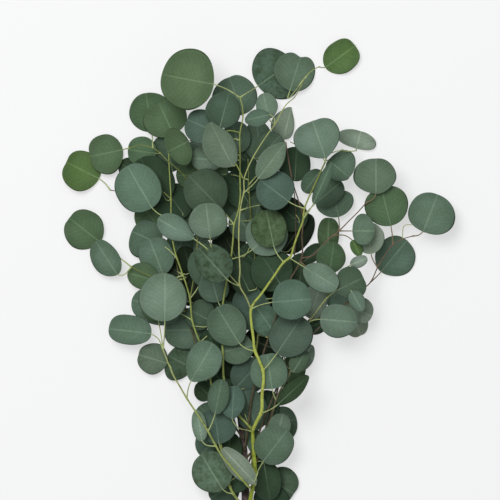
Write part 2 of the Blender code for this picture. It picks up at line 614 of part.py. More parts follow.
def lay_petiole(leaf, pile, below, laid):
    """A slender stalk from the twig to the blade, that ends along the midrib and clears earlier shoots."""
    ends = np.array([1.0, 1.0 - 2 * MIDRIB_SHARE])
    inside = np.column_stack(blade_points(leaf, ends, np.full(2, math.pi)))
    root = nearest_on(laid, leaf["at"])
    away = np.linalg.norm(inside[0, :2] - root[:2])
    halfway = (root[:2] + inside[0, :2]) / 2
    straight_back = inside[0, :2] - PETIOLE_BEND * away * leaf["way"]
    bend = leaf.get("via", (halfway + straight_back) / 2)
    plan = smooth_route([root[:2], bend, inside[0, :2]], ROUTE_STEP)
    run = run_along(plan)
    share = run / run[-1]
    height = root[2] + (inside[0, 2] - root[2]) * (3 * share**2 - 2 * share**3)
    radii = np.full(len(plan), PETIOLE_RADIUS)
    joining = (run < PETIOLE_JOIN) | (run > run[-1] - PETIOLE_JOIN)
    floor = np.where(joining, below.under_tube(plan, radii), pile.under_tube(plan, radii)) + PETIOLE_AIR
    height[1:-1] = np.maximum(height, floor)[1:-1]
    points = np.vstack([np.column_stack([plan, height]), inside[1:]])
    points[:, 2] = np.maximum(points[:, 2], PETIOLE_RADIUS + LOWEST_PETIOLE)
    last = len(points) - 1
    leaf["stalk"] = points
    leaf["kept"] = fewer_points(points[:last], np.minimum(floor, points[:last, 2]), PETIOLE_SLACK) + [last]
    pile.cover_tube(points, (PETIOLE_RADIUS, PETIOLE_RADIUS))


def lay_branch():
    """Works out every height, from the woody stem at the bottom to the front shoots on top."""
    draw = random.Random(SEED)
    outline_draw = random.Random(OUTLINE_SEED)
    pile = Pile()
    lay_woody_stem(pile)
    node = None
    for shoot in SHOOTS:
        if shoot["node"] != node:
            node = shoot["node"]
            below = pile.copy()
            laid = []
        for leaf in shoot["under"]:
            lay_leaf(leaf, pile, draw, outline_draw)
        for twig in shoot["twigs"]:
            lay_twig(twig, pile, below, laid)
        for leaf in shoot["under"]:
            lay_petiole(leaf, pile, below, laid)
        for leaf in shoot["over"]:
            lay_leaf(leaf, pile, draw, outline_draw)
            lay_petiole(leaf, pile, below, laid)


def to_world(x, y, z):
    """A place on the board in millimetres as metres from the origin."""
    return (x - BOARD_MIDDLE[0]) * MM, (BOARD_MIDDLE[1] - y) * MM, z * MM


def plain_material(name, colour, roughness):
    material = bpy.data.materials.new(name)
    material.use_nodes = True
    shader = material.node_tree.nodes["Principled BSDF"]
    shader.inputs["Base Color"].default_value = colour
    shader.inputs["Roughness"].default_value = roughness
    return material


def as_mesh(obj, collection):
    """The object's evaluated mesh as a plain mesh object, with its loose caps welded."""
    graph = bpy.context.evaluated_depsgraph_get()
    mesh = bpy.data.meshes.new_from_object(obj.evaluated_get(graph))
    name = obj.name
    bpy.data.objects.remove(obj)
    shape = bmesh.new()
    shape.from_mesh(mesh)
    bmesh.ops.remove_doubles(shape, verts=shape.verts, dist=WELD)
    bmesh.ops.recalc_face_normals(shape, faces=shape.faces)
    shape.to_mesh(mesh)
    shape.free()
    made = bpy.data.objects.new(name, mesh)
    collection.objects.link(made)
    return made


def tube(name, points, radii, sides_step, collection):
    """A tapered round rod with closed ends. It has 4 sides, and 2 more for each sides_step."""
    curve = bpy.data.curves.new(name, "CURVE")
    curve.dimensions = "3D"
    curve.bevel_depth = MM
    curve.bevel_resolution = sides_step
    curve.use_fill_caps = True
    spline = curve.splines.new("POLY")
    spline.points.add(len(points) - 1)
    for point, place, radius in zip(spline.points, points, radii):
        point.co = (*to_world(*place), 1)
        point.radius = radius
    obj = bpy.data.objects.new(name, curve)
    collection.objects.link(obj)
    bpy.context.view_layer.update()
    return as_mesh(obj, collection)


def twig_tube(name, twig, sides_step, collection):
    kept = twig["kept"]
    return tube(name, twig["points"][kept], twig["tube_radii"][kept], sides_step, collection)


def petiole_tube(name, leaf, collection):
    points = leaf["stalk"][leaf["kept"]]
    radii = np.full(len(points), PETIOLE_RADIUS)
    radii[-2:] *= PETIOLE_TAPER
    return tube(name, points, radii, 0, collection)


def blade(name, leaf, collection):
    """A round blade as a fan of triangles from its middle to its rim, made thick by Solidify."""
    size = max(leaf["wide"], leaf["length"])
    sides = FEWEST_SIDES + 2 * int(size > SMALL_BLADE) + 2 * int(size > LARGE_BLADE)
    angle = np.arange(sides) * 2 * math.pi / sides
    angle = np.where(angle > math.pi, angle - 2 * math.pi, angle)
    shape = bmesh.new()
    middle = shape.verts.new(to_world(*blade_points(leaf, np.float64(0), np.float64(0))))
    places = to_world(*blade_points(leaf, np.full(sides, RIM_OUT), angle))
    rim = [shape.verts.new(place) for place in zip(*places)]
    for i in range(sides):
        shape.faces.new((middle, rim[i], rim[(i + 1) % sides]))
    bmesh.ops.recalc_face_normals(shape, faces=shape.faces)
    mesh = bpy.data.meshes.new(name)
    shape.to_mesh(mesh)
    shape.free()
    obj = bpy.data.objects.new(name, mesh)
    collection.objects.link(obj)
    wall = obj.modifiers.new("Blade thickness", "SOLIDIFY")
    wall.thickness = BLADE_THICK * MM
    wall.offset = 0
    wall.use_even_offset = False
    bpy.context.view_layer.update()
    return as_mesh(obj, collection)


def fuse(name, pieces, material, home):
    """Joins the pieces into one solid by a single Boolean union, then removes them."""
    first, others = pieces[0], pieces[1:]
    joined = bpy.data.collections.new(name + " pieces")
    bpy.context.scene.collection.children.link(joined)
    for piece in others:
        for old in list(piece.users_collection):
            old.objects.unlink(piece)
        joined.objects.link(piece)
    join = first.modifiers.new("Join", "BOOLEAN")
    join.operation = "UNION"
    join.operand_type = "COLLECTION"
    join.collection = joined
    join.solver = SOLVER
    bpy.context.view_layer.update()
    graph = bpy.context.evaluated_depsgraph_get()
    mesh = bpy.data.meshes.new_from_object(first.evaluated_get(graph))
    for piece in list(joined.objects) + [first]:
        bpy.data.objects.remove(piece)
    bpy.data.collections.remove(joined)
    mesh.materials.clear()
    mesh.materials.append(material)
    mesh.name = name
    home.objects.link(bpy.data.objects.new(name, mesh))


def build():
    """Clears the scene, lays the branch and makes one solid of each group of shoots."""
    for obj in list(bpy.data.objects):
        bpy.data.objects.remove(obj)
    home = bpy.data.collections.new("Eucalyptus branch")
    bpy.context.scene.collection.children.link(home)
    loose = bpy.data.collections.new("Loose pieces")
    bpy.context.scene.collection.children.link(loose)
    lay_branch()
    stem = twig_tube("woody_stem", WOODY_STEM, STEM_SIDES_STEP, home)
    stem.data.materials.append(plain_material("Bark", BARK_COLOUR, 0.8))
    for node in dict.fromkeys(shoot["node"] for shoot in SHOOTS):
        pieces = []
        for shoot in SHOOTS:
            if shoot["node"] != node:
                continue
            for twig in shoot["twigs"]:
                sides_step = int(twig["radii"][0] > SLIM_TWIG)
                pieces.append(twig_tube("twig", twig, sides_step, loose))
            for leaf in shoot["under"] + shoot["over"]:
                pieces.append(petiole_tube("petiole", leaf, loose))
                pieces.append(blade("blade", leaf, loose))
        fuse(node, pieces, plain_material("Leaves of " + node, LEAF_COLOUR, 0.6), home)
    bpy.data.collections.remove(loose)


build()
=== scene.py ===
# Eucalyptus branch: the looks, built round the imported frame.
# A user changes the numbers in the dictionaries beside each piece.
import math
import random

import bpy
import numpy as np
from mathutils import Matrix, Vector


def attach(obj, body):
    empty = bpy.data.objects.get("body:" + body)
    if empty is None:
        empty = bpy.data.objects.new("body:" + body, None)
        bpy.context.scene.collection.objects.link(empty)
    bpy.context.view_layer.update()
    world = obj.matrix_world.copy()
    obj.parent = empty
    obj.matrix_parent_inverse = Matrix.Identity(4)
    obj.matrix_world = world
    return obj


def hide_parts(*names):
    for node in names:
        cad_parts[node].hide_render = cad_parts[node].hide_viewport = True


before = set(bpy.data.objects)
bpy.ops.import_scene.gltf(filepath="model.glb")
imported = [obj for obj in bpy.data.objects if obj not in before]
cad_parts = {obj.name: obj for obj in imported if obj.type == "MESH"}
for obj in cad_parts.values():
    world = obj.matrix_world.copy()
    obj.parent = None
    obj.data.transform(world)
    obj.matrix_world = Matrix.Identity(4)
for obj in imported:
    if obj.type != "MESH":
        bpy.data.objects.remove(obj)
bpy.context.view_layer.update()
print("frame loaded:", ", ".join(sorted(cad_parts)))

mm = 0.001
tiny = 1e-9  # keeps a division away from nought
board = {
    "middle": (258.50, 296.90),  # place on the board, in mm, that is the origin
    "squares": 620,  # the height map's side, a square to the millimetre
}

# Places are in mm on the board, x to the right and y towards the cut end.

woodyStem = dict(heights=(4.75, 8), radii=(4.6, 2.4),
                 route=[(247, 556), (246, 520), (245, 480), (243, 440), (238, 400), (230, 350), (222, 305),
                        (214, 268)])
shoots = []


def addShoot(node, twigs, under, over):  # blades under are laid before the twigs, blades over after them
    shoots.append(dict(node=node, twigs=twigs, under=under, over=over))


def twigAlong(tone, heights, radii, *route):  # two tone words, and height and radius at its two ends
    return dict(tone=tone, heights=heights, radii=radii, route=route)


# A blade's place on its twig, its base, tip and width, its tone word, which holds painted light and shade
# besides the leaf's own colour, and how much of its bloom is rubbed off.
# Its own outline may follow, as shares. grown above 1 makes it larger than it was laid, to close a chink
# between leaves, roll leans it by so many degrees, via is a place its stalk passes, and rest lays it flat.
def blade(at, base, tip, wide, tone, rub=0.2, **own):
    return dict(at=at, base=base, tip=tip, wide=wide, tone=tone, rub=rub, **own)


addShoot("back_left_shoot", twigs=[
    twigAlong("brown-olive", (14, 9), (1.23, 0.66),
              (243, 440), (233, 424), (219, 398), (203, 365), (191, 330), (181, 290), (174, 250),
              (166, 212), (160, 178)),
], under=[
    blade((186, 310), (180, 312), (146, 292), 40, "green", rest=True),
    blade((171, 236), (163, 232), (140, 205), 34, "green", grown=1.08),
    blade((226, 411), (221, 437), (200, 456), 30, "mid", 0.3, grown=1.06),
    blade((222, 404), (216, 424), (199, 407), 26, "dark", 0.3),
    blade((213, 386), (211, 398), (197, 385), 20, "moss", 0.3, grown=1.1),
    blade((204, 368), (192, 369), (167, 356), 39, "dark", 0.7),
    blade((196, 345), (207, 330), (163, 331), 42, "mid", square=0.04),
    blade((163, 195), (160, 204), (132, 172), 40, "dark"),
    blade((161, 183), (143, 172), (118, 163), 23, "moss"),
    blade((207, 374), (216, 360), (208, 330), 29, "deep"),
    blade((222, 404), (226, 410), (224, 380), 27, "deep"),
    blade((177, 262), (188, 264), (202, 236), 31, "light"),
    blade((170, 228), (178, 218), (202, 200), 30, "dark"),
    blade((234, 425), (231, 436), (224, 466), 24, "moss", grown=1.2),
    blade((184, 300), (206, 304), (234, 297), 26, "dark", grown=1.12),
    blade((181, 292), (186, 303), (199, 273), 26, "night", grown=1.15),
    blade((178, 272), (187, 279), (163, 262), 24, "night"),
    blade((213, 386), (227, 392), (210, 366), 24, "deep"),
], over=[
    blade((190, 326), (212, 322), (188, 309), 33, "dark"),
    blade((174, 250), (176, 258), (185, 226), 26, "dark"),
    blade((178, 272), (190, 272), (184, 246), 21, "night"),
    blade((168, 220), (183, 214), (166, 190), 32, "deep", grown=1.25),
    blade((160, 178), (172, 170), (163, 135), 31, "dark", grown=1.08),
])
addShoot("back_right_shoot", twigs=[
    twigAlong("brown-brown", (14, 9), (1.23, 0.66),
              (244, 462), (258, 444), (272, 412), (281, 372), (285, 332), (290, 290), (295, 250),
              (296, 212), (292, 172)),
    twigAlong("brown-brown", (9, 6), (0.82, 0.66),
              (285, 332), (300, 318), (318, 304)),
], under=[
    blade((318, 304), (324, 300), (356, 286), 36, "light", rest=True),
    blade((250, 455), (266, 478), (295, 496), 38, "dark", 0.5),
    blade((252, 452), (260, 490), (285, 514), 31, "deep", 0.3, grown=1.1),
    blade((268, 420), (267, 428), (297, 420), 36, "dark", 0.3),
    blade((281, 372), (286, 390), (298, 352), 26, "green", 0.3),
    blade((284, 345), (294, 371), (313, 346), 20, "pale", 0.4, point=0.2),
    blade((300, 318), (306, 330), (327, 320), 17, "deep", grown=1.1),
    blade((295, 245), (283, 252), (310, 212), 34, "night"),
    blade((258, 444), (262, 452), (261, 486), 24, "night"),
    blade((266, 425), (262, 424), (270, 394), 25, "deep", grown=1.15),
    blade((254, 449), (261, 456), (249, 428), 18, "dark"),
    blade((284, 345), (276, 350), (246, 338), 28, "night", grown=1.15),
    blade((296, 215), (300, 223), (279, 204), 24, "deep", grown=1.4),
], over=[
    blade((289, 300), (299, 292), (303, 253), 27, "deep"),
    blade((293, 180), (295, 180), (297, 147), 31, "deep", 0.3, grown=1.06),
])
addShoot("back_centre_shoot", twigs=[
    twigAlong("olive-olive", (15, 9), (1.15, 0.66),
              (240, 415), (246, 390), (256, 352), (259, 312), (256, 270), (252, 230), (249, 190),
              (248, 160)),
], under=[
    blade((248, 160), (246, 162), (226, 138), 36, "dark", rest=True, grown=1.25),
    blade((251, 220), (239, 218), (226, 176), 28, "dark", grown=1.15),
    blade((249, 185), (262, 160), (256, 120), 30, "mid"),
    blade((249, 180), (226, 174), (178, 175), 34, "green", grown=1.1),
    blade((250, 208), (250, 205), (231, 173), 32, "deep", grown=1.12),
    blade((253, 240), (236, 258), (222, 230), 30, "night", grown=1.15),
    blade((257, 290), (241, 296), (220, 276), 28, "night"),
    blade((252, 372), (238, 378), (226, 350), 28, "night"),
    blade((252, 235), (255, 238), (234, 212), 30, "mid"),
    blade((255, 262), (263, 267), (240, 250), 26, "deep", grown=1.12),
    blade((252, 229), (254, 223), (261, 197), 24, "dark", grown=1.1),
    blade((249, 192), (247, 191), (251, 158), 24, "deep"),
    blade((259, 306), (257, 307), (277, 290), 22, "night", grown=1.15),
], over=[
    blade((259, 320), (257, 328), (244, 289), 35, "blue", grown=1.1),
    blade((257, 285), (249, 291), (236, 262), 24, "deep", grown=1.12),
    blade((259, 300), (283, 288), (260, 253), 45, "deep", 0.3),
    blade((258, 335), (275, 334), (257, 308), 30, "mid", 0.5),
    blade((247, 388), (236, 388), (260, 362), 35, "blue", grown=1.05),
    blade((242, 408), (257, 431), (245, 391), 33, "blue"),
])
addShoot("far_right_shoot", twigs=[
    twigAlong("brown-red", (16, 22), (1.31, 0.57),
              (244, 474), (253, 452), (262, 425), (274, 395), (286, 368), (299, 349), (311, 336),
              (322, 325), (340, 308), (355, 296), (365, 288), (371, 282), (375, 274), (378, 267),
              (384, 257), (393, 245), (403, 239), (413, 236)),
    twigAlong("straw-straw", (22, 26), (0.5, 0.5),
              (403, 239), (403, 231), (405, 225), (412, 225)),
], under=[
    blade((372, 282), (382, 272), (408, 240), 41, "mid", 0.3),
    blade((345, 304), (350, 304), (362, 337), 28, "pale"),
], over=[
    blade((350, 300), (350, 305), (372, 317), 27, "pale", 0.3),
    blade((413, 236), (423, 232), (438, 194), 48, "mid", pinch=0.1, notch=0.02),
    blade((393, 245), (391, 226), (381, 187), 44, "green", 0.3, pinch=0.2, egg=-0.04, notch=0),
    blade((378, 267), (371, 254), (367, 222), 29, "pale"),
])
addShoot("right_shoot", twigs=[
    twigAlong("brown-red", (17, 26), (1.39, 0.66),
              (244, 451), (247, 436), (249, 418), (251, 402), (260, 365), (274, 322), (286, 290),
              (291, 278), (298, 266), (302, 256), (302, 236), (303, 216), (299, 202), (293, 183),
              (289, 162), (286, 143)),
    twigAlong("red-red", (24, 22), (0.82, 0.66),
              (302, 258), (312, 256), (320, 248), (330, 238), (339, 231), (349, 221), (358, 212),
              (366, 203)),
], under=[
    blade((303, 256), (304, 262), (322, 245), 16, "deep"),
    blade((326, 242), (328, 252), (329, 217), 22, "green", 0.6, square=0.06),
], over=[
    blade((300, 262), (330, 273), (334, 242), 30, "green"),
    blade((339, 230), (339, 217), (334, 190), 38, "mid", 0.3, egg=-0.12, pinch=0.2),
    blade((334, 235), (352, 240), (360, 256), 12, "bright", 0.3, roll=45),
    blade((339, 231), (352, 231), (374, 231), 32, "mid", 0.1),
    blade((366, 203), (376, 194), (376, 158), 43, "mid", egg=0, pinch=0.2),
    blade((286, 143), (284, 139), (292, 106), 23, "pale", 0.1, side=-0.4, egg=0.3, point=0.25),
])
addShoot("lower_right_shoot", twigs=[
    twigAlong("brown-straw", (19, 30), (1.31, 0.74),
              (245, 490), (255, 466), (266, 436), (273, 412), (276, 400), (281, 389), (287, 379),
              (291, 370), (297, 353), (304, 336), (309, 322), (316, 312), (325, 300)),
    twigAlong("olive-lime", (30, 34), (0.66, 0.57),
              (325, 300), (331, 291), (340, 287), (348, 289)),
    twigAlong("olive-lime", (30, 28), (0.66, 0.57),
              (325, 300), (333, 286), (343, 272)),
], under=[
    blade((257, 462), (264, 464), (270, 500), 28, "deep", 0.3, grown=1.08),
    blade((312, 318), (310, 319), (321, 286), 27, "pale", 0.3),
], over=[
    blade((268, 432), (276, 441), (283, 414), 23, "light"),
    blade((276, 400), (272, 389), (267, 353), 38, "mid", 0.1),
    blade((291, 370), (293, 372), (307, 350), 18, "dark", 0.4),
    blade((343, 272), (350, 265), (367, 258), 12, "pale", 0.1),
    blade((325, 300), (337, 290), (364, 277), 34, "dark", 0.3),
    blade((348, 289), (351, 291), (362, 311), 16, "light", 0.1, point=0.3),
    blade((309, 322), (320, 319), (357, 322), 34, "light", 0.1),
])
addShoot("left_shoot", twigs=[
    twigAlong("fern-fern", (20, 34), (1.48, 0.66),
              (246, 510), (238, 501), (231, 490), (226, 470), (222, 452), (218, 425), (212, 388),
              (204, 352), (198, 338), (192, 320), (190, 299), (186, 284), (180, 267), (175, 252),
              (172, 235), (171, 214), (171, 198), (170, 180), (169, 162), (169, 148)),
    twigAlong("olive-olive", (26, 24), (0.82, 0.57),
              (190, 299), (196, 262), (196, 218), (186, 178), (168, 161), (153, 148), (140, 145),
              (129, 148)),
    twigAlong("olive-olive", (26, 18), (0.74, 0.57),
              (184, 279), (162, 280), (145, 274), (131, 267)),
    twigAlong("olive-red", (28, 18), (0.66, 0.57),
              (171, 199), (160, 190), (145, 187), (130, 190), (118, 191), (110, 190)),
], under=[
    blade((191, 321), (180, 314), (131, 300), 37, "mid"),
    blade((177, 258), (160, 244), (131, 231), 40, "mid"),
    blade((183, 276), (163, 275), (149, 239), 35, "mid", square=0.05, egg=-0.1),
    blade((182, 279), (157, 281), (127, 273), 27, "green", pinch=0.2),
    blade((230, 488), (236, 485), (211, 499), 27, "dark", grown=1.1),
    blade((229, 482), (246, 474), (226, 486), 24, "deep", grown=1.12),
    blade((160, 154), (156, 153), (127, 149), 30, "green"),
    blade((171, 199), (166, 200), (140, 158), 40, "deep"),
    blade((153, 148), (151, 131), (145, 92), 43, "green"),
    blade((131, 267), (99, 242), (67, 217), 41, "green", 0.3, pinch=0.15),
], over=[
    blade((231, 496), (223, 490), (201, 455), 40, "mid", 0.8, pinch=0.1),
    blade((222, 453), (219, 444), (214, 408), 37, "blue"),
    blade((110, 190), (98, 178), (64, 161), 41, "bright", pinch=0.15, square=0.05),
    blade((129, 148), (122, 149), (88, 156), 41, "green", 0.3, pinch=0.2),
    blade((131, 268), (117, 275), (95, 241), 28, "mid", 0.1, side=-0.1),
    blade((171, 218), (152, 208), (127, 165), 46, "mid", 0.35, square=0.03, egg=0.06, side=-0.1),
    blade((190, 298), (199, 285), (210, 250), 38, "dark", 0.1, pinch=0.3, egg=-0.1),
    blade((169, 148), (173, 134), (158, 101), 45, "green"),
])
addShoot("front_branch", twigs=[
    twigAlong("sap-sap", (12, 18), (2.35, 1.95),
              (246, 530), (249, 512), (251, 497), (253, 486), (255, 472), (254, 455), (253, 440),
              (252.5, 431)),
    twigAlong("fern-fern", (22, 40), (1.4, 0.74),
              (252.5, 431), (247, 424), (241, 418), (231, 402), (224, 380), (223, 357), (222, 330),
              (223, 303), (226, 285), (229, 270), (231, 258), (233, 240), (234, 225), (238, 212),
              (240, 200), (240, 178), (240, 155), (240, 133), (243, 116), (242, 105), (240, 98)),
    twigAlong("fern-fern", (42, 42), (0.74, 0.57),
              (240, 133), (231, 131), (216, 134), (203, 136)),
], under=[
    blade((223, 357), (221, 352), (253, 346), 33, "mid"),
    blade((223, 308), (218, 302), (210, 272), 31, "mid"),
    blade((243, 116), (243, 114), (229, 75), 46, "mid"),
    blade((240, 150), (240, 152), (232, 121), 28, "mid"),
    blade((240, 155), (221, 152), (190, 141), 31, "light", 0.1),
    blade((240, 160), (223, 160), (191, 158), 27, "light", 0.1),
    blade((234, 225), (223, 224), (195, 226), 30, "mid", 0.1),
], over=[
    blade((203, 136), (189, 141), (168, 152), 41, "green"),
    blade((222, 133), (219, 134), (186, 119), 35, "blue"),
    blade((234, 225), (221, 209), (189, 176), 46, "dark", 0.1),
    blade((232, 260), (252, 250), (282, 221), 44, "light", 0.1),
    blade((240, 140), (220, 128), (229, 94), 35, "dark", 0.1),
    blade((240, 98), (214, 85), (162, 75), 62, "green", pinch=0.1),
    blade((240, 98), (258, 85), (293, 60), 56, "mid", 0.8),
])
addShoot("front_branch", twigs=[
    twigAlong("lime-olive", (30, 44), (1.95, 0.82),
              (252.5, 431), (257, 421), (261, 413), (262, 395), (263, 371), (259, 360), (255, 351),
              (253, 335), (251, 320), (251, 309), (262, 293), (274, 276), (284, 262), (290, 257),
              (294, 245), (299, 231), (303, 220), (304, 210), (308, 199), (314, 186), (320, 173),
              (325, 162)),
    twigAlong("straw-fern", (52, 34), (0.98, 0.57),
              (251, 309), (246, 297), (240, 286), (240, 270), (239, 250), (239, 228), (240, 212),
              (242, 200), (244, 192), (244, 180), (248, 168), (254, 156), (260, 146), (268, 134),
              (276, 123), (282, 111), (287, 104), (294, 98), (300, 88), (306, 77), (313, 70), (319, 67)),
    twigAlong("fern-lime", (50, 52), (0.74, 0.66),
              (244, 180), (240, 172), (236, 164)),
    twigAlong("straw-straw", (52, 54), (0.74, 0.66),
              (240, 286), (229, 274), (220, 263), (213, 254)),
    twigAlong("straw-brown", (44, 38), (0.57, 0.5),
              (325, 162), (321, 157), (311, 152), (300, 147), (290, 142)),
    twigAlong("fern-straw", (44, 38), (0.66, 0.57),
              (325, 162), (328, 155), (335, 152), (342, 150)),
], under=[
    blade((254, 487), (256, 483), (223, 448), 22, "pale", 0.1, roll=45, pinch=0.3),
    blade((322, 168), (321, 170), (304, 192), 19, "dark"),
    blade((304, 216), (316, 203), (342, 181), 24, "dark"),
    blade((325, 163), (328, 160), (350, 178), 34, "mid", 0.3, side=-0.25, point=0.25),
    blade((240, 211), (260, 205), (291, 201), 24, "night"),
    blade((254, 157), (257, 159), (281, 135), 27, "dark"),
    blade((307, 77), (290, 90), (302, 52), 42, "mid", 0.4, notch=0.2, pinch=0.3, via=(288, 97)),
], over=[
    blade((254, 487), (263, 462), (287, 430), 38, "mid", 0.1, square=0.06),
    blade((262, 414), (278, 404), (309, 375), 17, "moss", 0.3, roll=52, point=0.3, pinch=0.2),
    blade((252, 432), (232, 419), (234, 386), 27, "blue", 0.1, pinch=0.3, egg=-0.08),
    blade((264, 370), (277, 353), (302, 316), 42, "blue", 0.3, grown=1.02),
    blade((254, 352), (239, 343), (217, 307), 38, "mid", 0.4, pinch=0.2, grown=1.03),
    blade((240, 286), (227, 279), (199, 248), 35, "dark", 1, pinch=0.1),
    blade((213, 254), (194, 239), (158, 219), 25, "light", 0.1, pinch=0.4, egg=-0.12),
    blade((213, 254), (210, 238), (206, 203), 39, "light", 0.1, pinch=0.1),
    blade((291, 259), (304, 267), (338, 288), 28, "light", 0.1, pinch=0.4, point=0.15),
    blade((252, 309), (272, 302), (312, 299), 41, "mid", pinch=0.1),
    blade((284, 262), (274, 247), (266, 209), 36, "green", 1),
    blade((303, 208), (289, 202), (260, 180), 41, "blue"),
    blade((303, 218), (313, 204), (331, 163), 11, "dark", roll=62),
    blade((342, 150), (357, 148), (362, 130), 40, "pale", 0, side=-0.1),
    blade((325, 162), (325, 158), (312, 120), 47, "light", pinch=0.3, egg=-0.1, notch=0.05),
    blade((244, 193), (258, 179), (285, 143), 24, "light", 0.1, point=0.45, pinch=0.3),
    blade((236, 164), (233, 167), (210, 122), 33, "light", 0.1, side=-0.2, point=0.5, egg=0.1),
    blade((275, 124), (269, 118), (263, 92), 22, "light", 0.1, pinch=0.2),
    blade((275, 124), (270, 115), (244, 121), 18, "mid", 0.1, pinch=0.4, point=0.4),
    blade((319, 67), (326, 66), (356, 44), 33, "bright", 0.4, pinch=0.3, square=0.08),
])
addShoot("front_branch", twigs=[
    twigAlong("fern-straw", (30, 24), (1.48, 0.82),
              (250, 488), (245, 482), (237, 473), (230, 465), (223, 457), (215, 444), (208, 431),
              (200, 418), (193, 408), (187, 399), (180, 387), (173, 375), (168, 363), (163, 350)),
], under=[
    blade((214, 447), (202, 441), (197, 410), 15, "light", 0.1),
    blade((172, 374), (167, 364), (137, 355), 32, "light", 0.4, pinch=0.3),
    blade((163, 350), (158, 321), (150, 290), 26, "green"),
], over=[
    blade((187, 399), (191, 381), (213, 343), 35, "mid", 0.1, pinch=0.3, egg=-0.12),
    blade((208, 431), (215, 414), (222, 379), 22, "dark", pinch=0.3),
    blade((163, 350), (151, 334), (108, 329), 30, "mid", side=0.1, square=0.08, pinch=0.15),
    blade((163, 350), (165, 321), (165, 273), 49, "light", pinch=0.12),
])


# The pile: the same rule as the solids follow, so each piece lies where its solid lies

pileRule = {  # mm, or shares
    "air": 0.75, "stalkAir": 0.5, "seatAir": -0.2,  # gaps over what lies below, and of a shoot over the stem
    "step": 4.0, "denseStep": 0.7, "findStep": 1.0,  # between points of a route
    "underLanes": 7, "coverLanes": 9,  # lines along a tube where heights are read, and where they are noted
    "bladeThick": 0.7, "bladeReach": 1.03, "bladeRings": 36, "bladeTurns": 120,  # a blade's own grid
    "nesting": 0.7, "mostNesting": 0.22, "tiltSpread": 0.085,  # how a blade tilts with what lies below
    "steepest": 0.45, "freeStart": 10.0,
    "stalkRadius": 0.6, "stalkJoin": 5.0, "stalkBend": 0.35, "lowestStalk": 0.1, "midribShare": 0.1,
    "seed": 19, "outlineSeed": 5,
}
outline = {  # what a leaf's own row doesn't say is drawn between these
    "notches": (0.0, 0.0, 0.03, 0.06), "notchReach": 0.3,
    "egg": (0.0, 0.1), "pinch": (0.0, 0.2), "square": (0.0, 0.045), "uneven": 0.1,
    "size": 40.0, "cup": (-1.3, 2.2), "wave": (0.3, 1.3), "crease": (0.0, 0.07),
}


def unit(vectors):
    return vectors / (np.linalg.norm(vectors, axis=-1, keepdims=True) + tiny)


def smoothRoute(points, step):
    # cubic curve through the points, its slope at each taken from its neighbours, read every step
    points = np.array(points, float)
    gaps = np.linalg.norm(np.diff(points, axis=0), axis=1)
    at = np.concatenate([[0], np.cumsum(gaps)])
    slope = np.gradient(points, at, axis=0)
    here = np.linspace(0, at[-1], max(3, int(at[-1] / step) + 1))
    k = np.clip(np.searchsorted(at, here, side="right") - 1, 0, len(gaps) - 1)
    t = ((here - at[k]) / gaps[k])[:, None]
    span = gaps[k][:, None]
    start = points[k] * (2 * t**3 - 3 * t**2 + 1) + slope[k] * span * (t**3 - 2 * t**2 + t)
    return start + points[k + 1] * (3 * t**2 - 2 * t**3) + slope[k + 1] * span * (t**3 - t**2)


def runAlong(path):  # length of the path up to each of its points
    return np.concatenate([[0], np.cumsum(np.linalg.norm(np.diff(path, axis=0), axis=1))])


def lanes(plan, radii, count):
    # lines along a tube, each a share of its radius to one side, with its top's height over the middle
    side = unit(np.gradient(plan, axis=0))
    for share in np.linspace(-1, 1, count):
        x = plan[:, 0] - side[:, 1] * radii * share
        y = plan[:, 1] + side[:, 0] * radii * share
        yield x, y, radii * math.sqrt(1 - share * share)


class Pile:  # the highest surface so far over each square millimetre
    def __init__(self, top=None):
        self.top = np.zeros((board["squares"],) * 2) if top is None else top.copy()

    def squaresAt(self, x, y, border):
        last = board["squares"] - 1 - border
        return [np.clip(np.floor(at).astype(int), border, last) for at in (x, y)]

    def under(self, x, y):  # the highest of a square and its neighbours
        column, row = self.squaresAt(x, y, 1)
        near = [self.top[column + i, row + j] for i in (-1, 0, 1) for j in (-1, 0, 1)]
        return np.max(near, axis=0)

    def underTube(self, plan, radii):
        rounds = lanes(plan, radii, pileRule["underLanes"])
        return np.max([self.under(x, y) + high for x, y, high in rounds], axis=0)

    def cover(self, x, y, z):
        np.maximum.at(self.top, tuple(self.squaresAt(x, y, 0)), z)

    def coverTube(self, points, endRadii):
        points = smoothRoute(points, pileRule["denseStep"])
        radii = np.linspace(endRadii[0], endRadii[1], len(points))
        for x, y, high in lanes(points[:, :2], radii, pileRule["coverLanes"]):
            self.cover(x, y, points[:, 2] + high)


def nearestOn(twigs, place):  # the point of the twigs' routes that is nearest to a place in plan
    points = np.concatenate([smoothRoute(twig["points"], pileRule["findStep"]) for twig in twigs])
    return points[np.argmin(np.hypot(points[:, 0] - place[0], points[:, 1] - place[1]))]


def layTwig(twig, pile, below, laid, seatHeight):
    # the row's heights, raised where something lies below, and nowhere steeper than the rule
    rule = pileRule
    plan = smoothRoute(twig["route"], rule["step"])
    run = runAlong(plan)
    share = run / run[-1]
    radii = np.interp(share, (0, 1), twig["radii"])
    free = run < (rule["freeStart"] if laid else rule["step"])
    floor = np.where(free, below.underTube(plan, radii), pile.underTube(plan, radii)) + rule["air"]
    start = nearestOn(laid, plan[0])[2] if laid else seatHeight + radii[0]
    reach = rule["steepest"] * run
    wanted = np.clip(np.interp(share, (0, 1), twig["heights"]), start - reach, start + reach)
    height = np.maximum(floor, wanted)
    height = (height[None, :] - rule["steepest"] * np.abs(run[:, None] - run[None, :])).max(axis=1)
    height[0] = start
    twig["points"] = np.column_stack([plan, height])
    pile.coverTube(twig["points"], twig["radii"])
    laid.append(twig)


